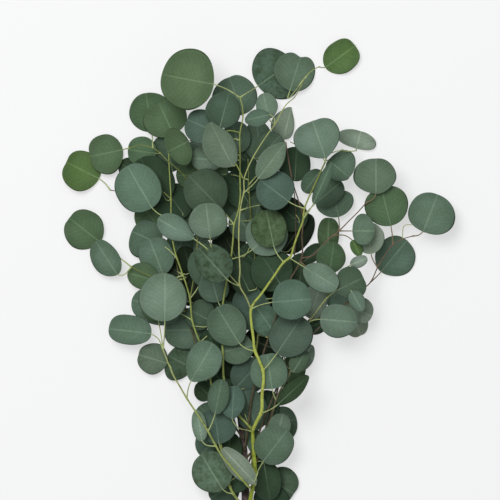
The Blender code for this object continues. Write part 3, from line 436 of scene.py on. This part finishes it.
def bladePlan(leaf, radius, angle):
    # shares of half the length and width: a circle with a nick at the tip (angle 0), fuller between the
    # quarters, its width less an egg, a pinch towards the base and a point towards the tip, one half wider
    nick = leaf["notch"] * np.exp(-((np.abs(angle) / outline["notchReach"]) ** 2))
    reach = radius * (1 - nick + leaf["square"] * np.sin(2 * angle) ** 2)
    along = np.cos(angle)
    width = 1 - leaf["egg"] * along - leaf["pinch"] * np.maximum(0, -along) ** 2
    width = width - leaf["point"] * np.maximum(0, along) ** 2
    return reach * along, reach * np.sin(angle) * (width + leaf["side"] * np.sign(angle))


def bladePoints(leaf, radius, angle, form=1.0):
    # tilted plane, plus a cup that grows with the radius to the power form, a midrib crease and a slow wave
    along, across = bladePlan(leaf, radius, angle)
    halfLength, halfWidth = leaf["length"] / 2, leaf["wide"] / 2
    x = leaf["middle"][0] + along * halfLength * leaf["way"][0] - across * halfWidth * leaf["way"][1]
    y = leaf["middle"][1] + along * halfLength * leaf["way"][1] + across * halfWidth * leaf["way"][0]
    z = leaf["height"] + leaf["rise"] * along * halfLength + leaf["lean"] * across * halfWidth
    z = z + leaf["cup"] * radius**form + leaf["crease"] * np.abs(across) * halfWidth
    z = z + leaf["wave"] * radius**form * np.sin(2 * angle + leaf["phase"])
    return x, y, z


def shapeLeaf(leaf, draw, outlineDraw):
    # everything is drawn for every blade, so a number added to one row leaves the other blades as they are
    base, tip = np.array(leaf["base"], float), np.array(leaf["tip"], float)
    leaf["length"] = float(np.linalg.norm(tip - base))
    leaf["way"] = (tip - base) / leaf["length"]
    leaf["middle"] = (tip + base) / 2
    leaf["height"], leaf["rise"], leaf["lean"] = 0.0, 0.0, 0.0
    size = min(leaf["length"], leaf["wide"]) / outline["size"]
    leaf["loose"] = loose = 0.0 if leaf.get("rest", False) else 1.0
    leaf.setdefault("notch", draw.choice(outline["notches"]))
    leaf.setdefault("egg", draw.uniform(*outline["egg"]))
    leaf.setdefault("pinch", outlineDraw.uniform(*outline["pinch"]))
    leaf.setdefault("square", outlineDraw.uniform(*outline["square"]))
    leaf.setdefault("side", outlineDraw.uniform(-outline["uneven"], outline["uneven"]))
    leaf.setdefault("point", 0.0)
    leaf["cup"] = loose * draw.uniform(*outline["cup"]) * size
    leaf["crease"] = loose * draw.uniform(*outline["crease"])
    leaf["wave"] = loose * draw.uniform(*outline["wave"]) * size
    leaf["phase"] = draw.uniform(0, 2 * math.pi)
    return [loose * draw.gauss(0, pileRule["tiltSpread"]) for _ in range(2)]


def layLeaf(leaf, pile, draw, outlineDraw):
    # the blade takes a share of the tilt of what lies below, then comes down until it just clears it
    rule = pileRule
    looseRise, looseLean = shapeLeaf(leaf, draw, outlineDraw)
    radius, angle = np.meshgrid(np.linspace(0, rule["bladeReach"], rule["bladeRings"]),
                                np.linspace(-math.pi, math.pi, rule["bladeTurns"]))
    x, y, _ = bladePoints(leaf, radius, angle)
    ground = pile.under(x, y)
    if leaf["loose"]:
        along, across = bladePlan(leaf, radius, angle)
        along, across = along.ravel() * leaf["length"] / 2, across.ravel() * leaf["wide"] / 2
        plane = np.column_stack([along, across, np.ones(along.size)])
        rise, lean, _ = np.linalg.lstsq(plane, ground.ravel(), rcond=None)[0]
        most = rule["mostNesting"]
        leaf["rise"] = float(np.clip(rule["nesting"] * rise, -most, most)) + looseRise
        leaf["lean"] = float(np.clip(rule["nesting"] * lean, -most, most)) + looseLean
        if "roll" in leaf:
            leaf["lean"] = math.tan(math.radians(leaf["roll"]))
    half = rule["bladeThick"] / 2 * math.sqrt(1 + leaf["rise"] ** 2 + leaf["lean"] ** 2)
    z = bladePoints(leaf, radius, angle)[2]
    leaf["height"] = rule["bladeThick"] / 2
    if leaf["loose"]:
        leaf["height"] = float((ground + rule["air"] + half - z).max())
    x, y, z = bladePoints(leaf, radius, angle)
    pile.cover(x, y, z + half)


def layStalk(leaf, pile, below, laid):
    # from the twig to just inside the blade's base, rising by an even S and lifted over what lies below
    rule = pileRule
    thin = rule["stalkRadius"]
    reach = np.array([1.0, 1.0 - 2 * rule["midribShare"]])
    inside = np.column_stack(bladePoints(leaf, reach, np.full(2, math.pi)))
    root = nearestOn(laid, leaf["at"])
    away = np.linalg.norm(inside[0, :2] - root[:2])
    halfway = (root[:2] + inside[0, :2]) / 2
    straightBack = inside[0, :2] - rule["stalkBend"] * away * leaf["way"]
    via = leaf.get("via", (halfway + straightBack) / 2)
    plan = smoothRoute([root[:2], via, inside[0, :2]], rule["step"])
    run = runAlong(plan)
    t = run / run[-1]
    height = root[2] + (inside[0, 2] - root[2]) * (3 * t**2 - 2 * t**3)
    radii = np.full(len(plan), thin)
    joining = (run < rule["stalkJoin"]) | (run > run[-1] - rule["stalkJoin"])
    floor = np.where(joining, below.underTube(plan, radii), pile.underTube(plan, radii)) + rule["stalkAir"]
    height[1:-1] = np.maximum(height, floor)[1:-1]
    points = np.vstack([np.column_stack([plan, height]), inside[1:]])
    points[:, 2] = np.maximum(points[:, 2], thin + rule["lowestStalk"])
    leaf["stalk"] = points
    pile.coverTube(points, (thin, thin))


def layBranch():
    # the woody stem lies lowest; then, shoot by shoot, come the blades under its twigs, the twigs, and the
    # blades over them
    draw, outlineDraw = random.Random(pileRule["seed"]), random.Random(pileRule["outlineSeed"])
    pile = Pile()
    plan = smoothRoute(woodyStem["route"], pileRule["step"])
    share = np.linspace(0, 1, len(plan))
    stem = np.column_stack([plan, np.interp(share, (0, 1), woodyStem["heights"])])
    stemTop = stem[:, 2] + np.interp(share, (0, 1), woodyStem["radii"])
    woodyStem["points"] = stem
    pile.coverTube(stem, woodyStem["radii"])
    node = None
    for shoot in shoots:
        if shoot["node"] != node:
            node, below, laid = shoot["node"], Pile(pile.top), []
        for leaf in shoot["under"]:
            layLeaf(leaf, pile, draw, outlineDraw)
        for twig in shoot["twigs"]:
            x, y = twig["route"][0]
            nearest = np.argmin(np.hypot(stem[:, 0] - x, stem[:, 1] - y))
            layTwig(twig, pile, below, laid, stemTop[nearest] + pileRule["seatAir"])
        for leaf in shoot["under"]:
            layStalk(leaf, pile, below, laid)
        for leaf in shoot["over"]:
            layLeaf(leaf, pile, draw, outlineDraw)
            layStalk(leaf, pile, below, laid)


def toFrame(points):  # mm on the board to metres in the frame
    x, y, z = np.moveaxis(np.asarray(points, float), -1, 0)
    return np.stack([x - board["middle"][0], board["middle"][1] - y, z], -1) * mm


# Meshes

def loftFaces(rows, loop):
    # quads between neighbouring loops, and triangles from the first and last loop to its pole
    i, j = np.meshgrid(np.arange(rows - 1), np.arange(loop), indexing="ij")
    nextJ = (j + 1) % loop
    corners = [i * loop + j, (i + 1) * loop + j, (i + 1) * loop + nextJ, i * loop + nextJ]
    j = np.arange(loop)
    nextJ = (j + 1) % loop
    first = np.stack([np.full(loop, rows * loop), j, nextJ], -1)
    last = np.stack([np.full(loop, rows * loop + 1), (rows - 1) * loop + nextJ, (rows - 1) * loop + j], -1)
    return np.stack(corners, -1).reshape(-1, 4), np.vstack([first, last])


tubeEnd = 0.4  # how far a tube's end bulges, in radii


def tubeMesh(points, radii, around):
    # a circle of the local radius square to the path at each point, closed by a point at each end
    tangent = unit(np.gradient(points, axis=0))
    side = unit(np.cross(tangent, [0.0, 0.0, 1.0]))
    up = np.cross(side, tangent)
    turn = np.linspace(0, 2 * math.pi, around, endpoint=False)[None, :, None]
    ring = side[:, None, :] * np.cos(turn) + up[:, None, :] * np.sin(turn)
    skin = points[:, None, :] + ring * radii[:, None, None]
    first = points[:1] - tangent[:1] * radii[0] * tubeEnd
    last = points[-1:] + tangent[-1:] * radii[-1] * tubeEnd
    return np.vstack([skin.reshape(-1, 3), first, last])


class Gather:  # collects many small meshes into one piece
    def __init__(self):
        self.points, self.quads, self.triangles, self.tint, self.place, self.count = [], [], [], [], [], 0

    def add(self, points, quads, triangles, tint, place):
        self.points.append(points)
        self.quads.append(quads + self.count)
        self.triangles.append(triangles + self.count)
        self.tint.append(np.broadcast_to(tint, (len(points), 4)))
        self.place.append(np.broadcast_to(place, (len(points), 3)))
        self.count += len(points)

    def addTube(self, points, radii, around, colours):  # a colour for each point of the path
        tint = np.column_stack([colours, np.ones(len(points))]).repeat(around, axis=0)
        tint = np.vstack([tint, tint[:1], tint[-1:]])
        self.add(tubeMesh(points, radii, around), *loftFaces(len(points), around), tint, np.zeros(3))

    def finish(self, name, material):
        mesh = bpy.data.meshes.new(name)
        quads, triangles = np.vstack(self.quads), np.vstack(self.triangles)
        corners = np.concatenate([quads.ravel(), triangles.ravel()])
        starts = np.concatenate([np.arange(len(quads)) * 4, len(quads) * 4 + np.arange(len(triangles)) * 3])
        mesh.vertices.add(self.count)
        mesh.vertices.foreach_set("co", toFrame(np.vstack(self.points)).astype(np.float32).ravel())
        mesh.loops.add(len(corners))
        mesh.loops.foreach_set("vertex_index", corners.astype(np.int32))
        mesh.polygons.add(len(starts))
        mesh.polygons.foreach_set("loop_start", starts.astype(np.int32))
        mesh.update(calc_edges=True)
        mesh.validate()
        mesh.shade_smooth()
        for kind, key, label, values in (("FLOAT_COLOR", "color", "tint", self.tint),
                                         ("FLOAT_VECTOR", "vector", "place", self.place)):
            noted = mesh.attributes.new(label, kind, "POINT")
            noted.data.foreach_set(key, np.vstack(values).astype(np.float32).ravel())
        mesh.materials.append(material)
        piece = bpy.data.objects.new(name, mesh)
        bpy.context.scene.collection.objects.link(piece)
        return piece


# Colours and materials

def fromScreen(red, green, blue):  # 0 to 255 as seen on a screen, made linear by the screens' own curve
    share = np.array([red, green, blue]) / 255
    return np.where(share > 0.04045, ((share + 0.055) / 1.055) ** 2.4, share / 12.92)


def tones(**screen):
    return {word: fromScreen(*seen) for word, seen in screen.items()}


class Skin:  # one material: each method below adds a node and gives back its output
    def __init__(self, name, look):
        self.material = bpy.data.materials.new(name)
        self.material.use_nodes = True
        self.tree = self.material.node_tree
        self.sockets = self.tree.nodes["Principled BSDF"].inputs
        self.sockets["Roughness"].default_value = look["roughness"]
        self.sockets["Specular IOR Level"].default_value = look["specular"]

    def feed(self, socket, value):
        if isinstance(value, bpy.types.NodeSocket):
            self.tree.links.new(value, socket)
        else:
            socket.default_value = value

    def add(self, kind, given, output=0, **settings):
        node = self.tree.nodes.new("ShaderNode" + kind)
        for name, value in settings.items():
            setattr(node, name, value)
        for name, value in given.items():
            self.feed(node.inputs[name], value)
        return node.outputs[output]

    def here(self):
        return self.add("TexCoord", {}, "Object")

    def noted(self, name, output="Color"):  # what the mesh notes for each point
        return self.add("Attribute", {}, output, attribute_name=name)

    def reckon(self, operation, *values):
        return self.add("Math", dict(enumerate(values)), operation=operation)

    def times(self, first, second):
        return self.reckon("MULTIPLY", first, second)

    def noise(self, place, scale, detail, rough=0.5):
        given = {"Vector": place, "Scale": scale, "Detail": detail, "Roughness": rough}
        return self.add("TexNoise", given, "Fac")

    def ramp(self, value, low, high, first=0.0, last=1.0):  # eased from first at low to last at high
        given = {"Value": value, "From Min": low, "From Max": high, "To Min": first, "To Max": last}
        return self.add("MapRange", given, interpolation_type="SMOOTHSTEP")

    def mix(self, share, first, second, way="MIX"):
        return self.add("Mix", {0: share, 6: first, 7: second}, 2, data_type="RGBA", blend_type=way)

    def shade(self, colour, factor):
        return self.mix(1.0, colour, factor, "MULTIPLY")

    def bump(self, height, strength, distance):
        given = {"Height": height, "Strength": strength, "Distance": distance}
        self.feed(self.sockets["Normal"], self.add("Bump", given))


# A noise is its scale, detail and roughness, a ramp is from, to and the values there, a bump is its strength
# and its depth in metres, and radius runs from 0 in the middle of a leaf to 1 at its rim.
leafFinish = {
    "roughness": 0.66, "wornRoughness": 0.5, "wornFull": 0.6, "specular": 0.12,
    # painted light and shade: each leaf's colour is lighter in its middle and darker towards its rim, as
    # cupping and overlapping leaves would shade it
    "middlePaintedLight": 1.05, "edgePaintedShade": 0.82, "paintedShadeRadius": (0.35, 1.05),
    # bloom, vein, midrib and rim are times the leaf's own tone
    "bloom": (1.65, 1.5, 1.75, 1), "bloomShare": 0.4, "bloomNoise": (55, 3), "bloomRamp": (0.34, 0.7),
    "rubbed": (*fromScreen(150, 160, 110), 1), "rubShare": 0.85, "rubNoise": (170, 4, 0.6),
    "rubRamp": (0.36, 0.7), "rubStart": 0.2,
    "vein": (2.0, 1.9, 2.0, 1), "veinShare": 0.32, "veinGap": 4.8, "veinSlant": 0.62,
    "veinWide": 0.2, "veinSoft": (0.4, 1.6), "veinEnd": (0.86, 0.94, 1, 0),
    "wander": 10.0, "wanderNoise": (75, 2), "hemRadius": 0.925, "hemRamp": (0.004, 0.018, 0.7, 0),
    "netShare": 0.5, "netScale": 420, "netRamp": (0.02, 0.14),
    "midrib": (2.7, 2.4, 2.6, 1), "midribShare": 0.52, "midribWide": 0.5, "midribSoft": (0.5, 2.4),
    "midribFade": (0.3, 1.0, 1, 0.55),
    "rim": (2.0, 1.75, 1.8, 1), "rimShare": 0.34, "rimRadius": (0.972, 0.992),
    "glandNoise": (1500, 2), "veinHigh": 0.5, "glandHigh": 0.3, "bump": (0.3, 0.00025),
}


def leafVeins(skin, look, here, along, out, radius):
    # side veins: along, less a share of the way out from the midrib, comes round again every gap; a hem vein
    # runs inside the rim, and the cells of a net lie between
    wander = skin.reckon("SUBTRACT", skin.noise(here, *look["wanderNoise"]), 0.5)
    run = skin.reckon("MULTIPLY_ADD", out, -look["veinSlant"], along)
    run = skin.reckon("ADD", run, skin.times(wander, look["wander"]))
    back = skin.reckon("PINGPONG", skin.reckon("DIVIDE", run, look["veinGap"]), 0.5)
    low, high = (look["veinWide"] * soft for soft in look["veinSoft"])
    side = skin.ramp(skin.times(back, look["veinGap"]), low, high, 1, 0)
    side = skin.times(side, skin.ramp(radius, *look["veinEnd"]))
    off = skin.reckon("ABSOLUTE", skin.reckon("SUBTRACT", radius, look["hemRadius"]))
    hem = skin.ramp(off, *look["hemRamp"])
    cells = {"Vector": here, "Scale": look["netScale"]}
    cells = skin.add("TexVoronoi", cells, "Distance", feature="DISTANCE_TO_EDGE")
    net = skin.ramp(cells, *look["netRamp"], look["netShare"], 0)
    return skin.reckon("MAXIMUM", skin.reckon("MAXIMUM", side, hem), net)


def leafSkin():
    look = leafFinish
    skin = Skin("eucalyptus leaf", look)
    here = skin.here()
    rub = skin.noted("tint", "Alpha")
    parts = skin.add("SeparateXYZ", {0: skin.noted("place", "Vector")}).node
    along, across, radius = parts.outputs
    out = skin.reckon("ABSOLUTE", across)
    veins = leafVeins(skin, look, here, along, out, radius)
    # painted light and shade: lighter in the middle of the leaf, darker towards its rim
    paintedShading = skin.ramp(radius, *look["paintedShadeRadius"], look["middlePaintedLight"], look["edgePaintedShade"])
    tint = skin.shade(skin.noted("tint"), paintedShading)
    # waxy bloom in soft clouds, and soft darker blotches where it is rubbed off
    clouds = skin.ramp(skin.noise(here, *look["bloomNoise"]), *look["bloomRamp"])
    left = skin.reckon("SUBTRACT", 1.0, rub)
    waxy = skin.times(skin.times(clouds, left), look["bloomShare"])
    colour = skin.mix(waxy, tint, skin.shade(tint, look["bloom"]))
    worn = skin.ramp(skin.noise(here, *look["rubNoise"]), *look["rubRamp"])
    worn = skin.times(worn, skin.ramp(rub, look["rubStart"], 1.0, 0, look["rubShare"]))
    colour = skin.mix(worn, colour, skin.shade(colour, look["rubbed"]))
    # veins, midrib and rim
    colour = skin.mix(skin.times(veins, look["veinShare"]), colour, skin.shade(colour, look["vein"]))
    low, high = (look["midribWide"] * soft for soft in look["midribSoft"])
    middle = skin.ramp(out, low, high, look["midribShare"], 0)
    middle = skin.times(middle, skin.ramp(radius, *look["midribFade"]))
    colour = skin.mix(middle, colour, skin.shade(tint, look["midrib"]))
    rim = skin.ramp(radius, *look["rimRadius"], 0, look["rimShare"])
    colour = skin.mix(rim, colour, skin.shade(tint, look["rim"]))
    skin.feed(skin.sockets["Base Color"], colour)
    gloss = skin.ramp(worn, 0, look["wornFull"], look["roughness"], look["wornRoughness"])
    skin.feed(skin.sockets["Roughness"], gloss)
    glands = skin.times(skin.noise(here, *look["glandNoise"]), look["glandHigh"])
    skin.bump(skin.reckon("ADD", skin.times(veins, look["veinHigh"]), glands), *look["bump"])
    return skin.material


stemFinish = {
    "roughness": 0.5, "specular": 0.4, "dark": (*fromScreen(120, 96, 78), 1),
    "streakNoise": (260, 3), "streakRamp": (0.5, 0.72, 0, 0.45),
    "speckNoise": (900, 2), "speckRamp": (0.62, 0.7, 0, 0.4),
    "bumpNoise": (900, 3), "bump": (0.3, 0.0002),
}


def greenSkin():
    look = stemFinish
    skin = Skin("green stem", look)
    here, tint = skin.here(), skin.noted("tint")
    streaks = skin.ramp(skin.noise(here, *look["streakNoise"]), *look["streakRamp"])
    specks = skin.ramp(skin.noise(here, *look["speckNoise"]), *look["speckRamp"])
    colour = skin.mix(skin.reckon("MAXIMUM", streaks, specks), tint, skin.shade(tint, look["dark"]))
    skin.feed(skin.sockets["Base Color"], colour)
    skin.bump(skin.noise(here, *look["bumpNoise"]), *look["bump"])
    return skin.material


barkFinish = {
    "roughness": 0.82, "specular": 0.25,
    "light": (*fromScreen(148, 132, 128), 1), "patchNoise": (90, 4, 0.6), "patchRamp": (0.45, 0.7, 0, 0.5),
    "crack": (*fromScreen(44, 32, 34), 1), "crackRamp": (0.36, 0.46, 0.85, 0),
    "grainNoise": (700, 5, 0.62), "stretch": (1.0, 0.16, 1.0),  # the grain runs along the stem
    "bump": (0.7, 0.0006),
}


def barkSkin():
    look = barkFinish
    skin = Skin("woody bark", look)
    here, tint = skin.here(), skin.noted("tint")
    wood = skin.noted("tint", "Alpha")  # 0 on the cut
    drawnOut = skin.add("Mapping", {"Vector": here, "Scale": look["stretch"]})
    grain = skin.noise(drawnOut, *look["grainNoise"])
    patches = skin.ramp(skin.noise(here, *look["patchNoise"]), *look["patchRamp"])
    cracks = skin.times(skin.ramp(grain, *look["crackRamp"]), wood)
    colour = skin.mix(cracks, skin.mix(patches, tint, look["light"]), look["crack"])
    skin.feed(skin.sockets["Base Color"], colour)
    skin.bump(grain, *look["bump"])
    return skin.material


# Leaves

bladeLook = {
    "thick": 0.5, "rimThin": 0.75, "rimWave": 0.35, "waveWidth": 25, "outline": 0.012, "outlineFine": 0.6,
    "cupForm": 2.0, "rows": 26, "sides": 13, "bunch": 1.25,  # bunch above 1 crowds points at the midrib
    "ribWide": 0.7, "ribHigh": 0.22, "ribOver": -0.6, "ribUnder": -1.2, "ribFade": 0.8,
    "toneSpread": 0.07, "warmSpread": 0.02, "veinShift": 3, "seed": 7,
    "tones": tones(  # the tone words of the blades; besides each leaf's own colour, the darkest are painted shade for leaves low in the pile and the palest painted light for leaves on top
        pale=(126, 143, 123), light=(102, 124, 104), mid=(88, 111, 91), blue=(71, 92, 78),
        green=(79, 103, 72), bright=(83, 110, 62), dark=(73, 94, 74), moss=(47, 67, 45),
        # the last two are painted shade: near-black greens for leaves lying under others
        deep=(48, 68, 48), night=(26, 38, 22)),
}


def roundedBlade(leaf, radius, angle):
    return bladePoints(leaf, radius, angle, form=bladeLook["cupForm"])


def bladeMesh(leaf, spread):
    # closed loft: base to tip in even steps of an angle, each step a flat loop that runs over the top and
    # back under; the height is the laid blade's, with a groove along the top of the midrib, a ridge along
    # its underside and slow waves near the rim
    look = bladeLook
    turn = np.linspace(0, math.pi, look["rows"] + 2)[1:-1][:, None]
    k = np.linspace(-1, 1, 2 * look["sides"] + 1)
    s = np.sign(k) * np.abs(k) ** look["bunch"]
    s = np.concatenate([s, s[-2:0:-1]])[None, :]
    over = np.ones(k.size - 2)
    top = np.concatenate([[0], over, [0], -over])[None, :]  # 1 over, -1 under and 0 at the rim
    a = -np.cos(turn) * np.ones_like(s)
    c = np.sin(turn) * s
    radius = np.hypot(a, c)
    angle = np.arctan2(c, a)
    uneven = np.sin(3 * angle + spread[0]) + look["outlineFine"] * np.sin(5 * angle + spread[1])
    grown = leaf.get("grown", 1.0)
    x, y, z = roundedBlade(leaf, radius * (1 + look["outline"] * radius**3 * uneven) * grown, angle)
    halfWidth = leaf["wide"] / 2
    rimWave = leaf["loose"] * look["rimWave"] * radius**5 * np.sin(5 * angle + spread[2])
    z = z + rimWave * (0.5 + halfWidth / look["waveWidth"])
    half = look["thick"] / 2 * (1 - look["rimThin"] * radius**8)
    rib = look["ribHigh"] * np.exp(-((s * np.sin(turn) * halfWidth / look["ribWide"]) ** 2))
    rib = rib * (1 - look["ribFade"] * radius * (a > 0))
    slope = math.sqrt(1 + leaf["rise"] ** 2 + leaf["lean"] ** 2)
    z = z + top * half * slope + rib * np.where(top > 0, look["ribOver"], look["ribUnder"])
    ends = np.column_stack(roundedBlade(leaf, np.full(2, grown), np.array([math.pi, 0.0])))
    points = np.vstack([np.stack([x, y, z], -1).reshape(-1, 3), ends])
    place = np.stack([(a + 1) * leaf["length"] / 2, c * halfWidth, radius], -1).reshape(-1, 3)
    place = np.vstack([place, [0, 0, 1], [leaf["length"], 0, 1]])
    return points, *loftFaces(look["rows"], s.size), place


def tinted(tint, light, warm):  # a tone made a little lighter or warmer
    return np.array([tint[0] * light * (1 + warm), tint[1] * light, tint[2] * light * (1 - warm)])


def leafPiece(name, leaves, material, draw):
    look = bladeLook
    gather = Gather()
    for leaf in leaves:
        spread = [draw.uniform(0, 2 * math.pi) for _ in range(4)]
        light = 1 + draw.gauss(0, look["toneSpread"])
        tint = tinted(look["tones"][leaf["tone"]], light, draw.gauss(0, look["warmSpread"]))
        points, quads, triangles, place = bladeMesh(leaf, spread)
        shift = np.array([spread[3] * look["veinShift"], 0, 0])  # so no two blades have the same veins
        gather.add(points, quads, triangles, [*tint, leaf["rub"]], place + shift)
    return gather.finish(name, material)


# Twigs, stalks and midribs

twigLook = {
    "step": 1.5, "around": 12, "stalkAround": 8,
    "slimRadii": (0.6, 2.3), "slim": (0.78, 0.95),  # thin twigs lose more of their laid radius
    "swell": 0.2, "swellReach": 2.4, "swellNear": 4,
    "stalkShares": (0, 0.3, 1), "stalkRadii": (0.9, 0.58, 0.52),
    "ribRows": 16, "ribStart": -0.97, "ribShare": 0.86, "ribSunk": 0.45, "ribEnds": (0.42, 0.08),
    "ribPale": 0.45, "ribLight": 1.35, "ribTipLight": 1.2,
    # the brown and olive words are partly the stems' own colour and partly painted shade, darker for the back
    # shoots and for the lower ends of twigs lying in shadow
    "tones": tones(
        lime=(178, 190, 84), sap=(152, 168, 52), fern=(144, 158, 80), straw=(168, 174, 112),
        olive=(116, 126, 60), brown=(84, 74, 52), red=(116, 88, 72), stalk=(170, 184, 122),
        redStalk=(128, 112, 84), rib=(158, 178, 150)),
}


def addTwig(gather, twig, leaves):
    # a tube along the laid route, its radius falling evenly, swollen by a bell curve where each stalk starts
    look = twigLook
    points = smoothRoute(twig["points"], look["step"])
    run = runAlong(points)
    share = run / run[-1]
    radii = np.interp(share, (0, 1), twig["radii"])
    radii = radii * np.interp(radii, look["slimRadii"], look["slim"])
    swell = np.zeros(len(points))
    for leaf in leaves:
        away = np.linalg.norm(points[:, :2] - np.array(leaf["at"], float), axis=1)
        if away.min() < look["swellNear"]:
            off = run - run[np.argmin(away)]
            swell = np.maximum(swell, np.exp(-((off / look["swellReach"]) ** 2)))
    # each twig runs from its first tone at the base to its last at the tip; a darker base is partly painted
    # shade
    first, last = (look["tones"][word] for word in twig["tone"].split("-"))
    later = share[:, None] ** 3
    radii = radii * (1 + look["swell"] * swell)
    gather.addTube(points, radii, look["around"], first * (1 - later) + last * later)


def addStalk(gather, leaf, stalkTone):
    # the laid stalk, then on along the blade's midrib, half sunk, thinning to nothing
    look = twigLook
    stalk = smoothRoute(leaf["stalk"][:-1], look["step"])[:-1]
    a = np.linspace(look["ribStart"], look["ribShare"] * 2 - 1, look["ribRows"])
    rib = np.column_stack(roundedBlade(leaf, np.abs(a), np.where(a < 0, math.pi, 0.0)))
    ribRadii = np.linspace(*look["ribEnds"], len(rib))
    rib[:, 2] += bladeLook["thick"] / 2 - ribRadii * look["ribSunk"]
    run = runAlong(stalk)
    stalkRadii = np.interp(run / max(run[-1], tiny), look["stalkShares"], look["stalkRadii"])
    leafTone = bladeLook["tones"][leaf["tone"]]
    pale = look["ribPale"] * look["tones"]["rib"] + (1 - look["ribPale"]) * leafTone * look["ribLight"]
    share = np.linspace(0, 1, len(rib))[:, None]
    ribColours = pale * (1 - share) + leafTone * look["ribTipLight"] * share
    ribColours[0] = 0.5 * (stalkTone + pale)
    colours = np.vstack([np.tile(stalkTone, (len(stalk), 1)), ribColours])
    points, radii = np.vstack([stalk, rib]), np.concatenate([stalkRadii, ribRadii])
    gather.addTube(points, radii, look["stalkAround"], colours)


def stemPiece(name, group, material):
    gather = Gather()
    for shoot in group:
        leaves = shoot["under"] + shoot["over"]
        for twig in shoot["twigs"]:
            addTwig(gather, twig, leaves)
        tone = "redStalk" if shoot["twigs"][0]["tone"].endswith("red") else "stalk"
        for leaf in leaves:
            addStalk(gather, leaf, twigLook["tones"][tone])
    return gather.finish(name, material)


# Woody stem

woodLook = {
    "around": 40, "step": 1.2, "bark": fromScreen(72, 60, 58), "cut": fromScreen(196, 178, 140),
    "rough": 0.05, "sunk": 0.6,
    "waves": ((2, 0.05, 0.5), (5, -0.11, 0.3)),  # times round, turn to the mm and height
    "ridges": 9, "ridgeHigh": 0.35, "sway": 2, "swayTurn": 0.3,
}


def woodyPiece(material):
    # a tube whose radius is also uneven by slow waves round it and along it, with a flat pale cut below
    look = woodLook
    around = look["around"]
    points = smoothRoute(woodyStem["points"], look["step"])
    run = runAlong(points)
    mesh = tubeMesh(points, np.interp(run / run[-1], (0, 1), woodyStem["radii"]), around)
    skin = mesh[:-2].reshape(len(points), around, 3)
    run = run[:, None]
    turn = np.linspace(0, 2 * math.pi, around, endpoint=False)[None, :]
    wave = sum(high * np.sin(times * turn + run * twist) for times, twist, high in look["waves"])
    ridges = np.sin(look["ridges"] * turn + np.sin(run * look["swayTurn"]) * look["sway"])
    wave = wave + ridges * look["ridgeHigh"] - look["sunk"]
    skin += (skin - points[:, None, :]) * look["rough"] * wave[..., None]
    mesh[-2] = points[0]
    middle, rim = len(mesh) - 2, len(mesh) + np.arange(around)  # the cut has a rim of its own, for its colour
    tint = np.tile([*look["bark"], 1.0], (len(mesh) + around, 1))
    tint[[middle, *rim]] = [*look["cut"], 0.0]
    quads, triangles = loftFaces(len(points), around)
    triangles[:around] = np.stack([np.full(around, middle), rim, np.roll(rim, -1)], -1)
    gather = Gather()
    gather.add(np.vstack([mesh, skin[0]]), quads, triangles, tint, np.zeros(3))
    return gather.finish("woody_stem_bark", material)


layBranch()
print("branch laid:", sum(len(shoot["under"] + shoot["over"]) for shoot in shoots), "leaves")

leafMaterial, greenMaterial, barkMaterial = leafSkin(), greenSkin(), barkSkin()
draw = random.Random(bladeLook["seed"])
for node in dict.fromkeys(shoot["node"] for shoot in shoots):
    group = [shoot for shoot in shoots if shoot["node"] == node]
    leaves = [leaf for shoot in group for leaf in shoot["under"] + shoot["over"]]
    leafed = leafPiece(node + "_leaves", leaves, leafMaterial, draw)
    stems = stemPiece(node + "_stems", group, greenMaterial)
    for piece, finish in ((leafed, "leaf"), (stems, "green_stem")):
        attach(piece, "root")
        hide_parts(node)
    faces = len(leafed.data.polygons) + len(stems.data.polygons)
    print(node, "made:", len(leaves), "leaves,", faces, "faces")
wood = woodyPiece(barkMaterial)
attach(wood, "root")
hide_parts("woody_stem")
print("woody stem made")


studio = {
    "roughness": 0.9, "specular": 0.2,  # both of the floor
    "floorTone": 0.42, "floorSide": 8.0, "floorDrop": 0.0002,
    "floorGlow": 0.545,  # keeps the shadows faint
    "skyTone": (0.97, 0.985, 1.0), "skyStrength": 0.4,
    "lampSide": 1.6, "lampPlace": (-0.8, 1.1, 2.8), "lampPower": 58,
    "cameraHigh": 4.0, "seenMiddle": 250.0, "sensor": 36.0, "farthest": 50,
    "frameSide": 0.5, "aimHigh": 0.03,  # the picture is this wide at this height
}


def makeFloor():
    look = studio
    half = look["floorSide"] / 2
    corners = [(x * half, y * half, -look["floorDrop"]) for x, y in ((-1, -1), (1, -1), (1, 1), (-1, 1))]
    mesh = bpy.data.meshes.new("floor")
    mesh.from_pydata(corners, [], [(0, 1, 2, 3)])
    skin = Skin("pale board", look)
    tone = look["floorTone"]
    skin.sockets["Base Color"].default_value = (tone, tone, tone, 1)
    skin.sockets["Emission Color"].default_value = (1, 1, 1, 1)
    skin.sockets["Emission Strength"].default_value = look["floorGlow"]
    mesh.materials.append(skin.material)
    floor = bpy.data.objects.new("floor", mesh)
    bpy.context.scene.collection.objects.link(floor)


def makeLight():
    look = studio
    world = bpy.data.worlds.new("studio")
    world.use_nodes = True
    sky = world.node_tree.nodes["Background"].inputs
    sky["Color"].default_value = (*look["skyTone"], 1)
    sky["Strength"].default_value = look["skyStrength"]
    bpy.context.scene.world = world
    lampData = bpy.data.lights.new("soft lamp", "AREA")
    lampData.shape, lampData.size, lampData.energy = "SQUARE", look["lampSide"], look["lampPower"]
    lamp = bpy.data.objects.new("soft lamp", lampData)
    lamp.location = look["lampPlace"]
    lamp.rotation_euler = (-Vector(look["lampPlace"])).to_track_quat("-Z", "Y").to_euler()
    bpy.context.scene.collection.objects.link(lamp)


def makeCamera():
    look = studio
    cameraData = bpy.data.cameras.new("camera")
    cameraData.sensor_width = look["sensor"]
    cameraData.lens = look["sensor"] * (look["cameraHigh"] - look["aimHigh"]) / look["frameSide"]
    cameraData.clip_end = look["farthest"]
    camera = bpy.data.objects.new("camera", cameraData)
    x, y, _ = toFrame([look["seenMiddle"], look["seenMiddle"], 0])
    camera.location = (x, y, look["cameraHigh"])
    bpy.context.scene.collection.objects.link(camera)
    bpy.context.scene.camera = camera


makeFloor()
makeLight()
makeCamera()
bpy.context.scene.view_settings.view_transform = "Standard"
print("studio made")
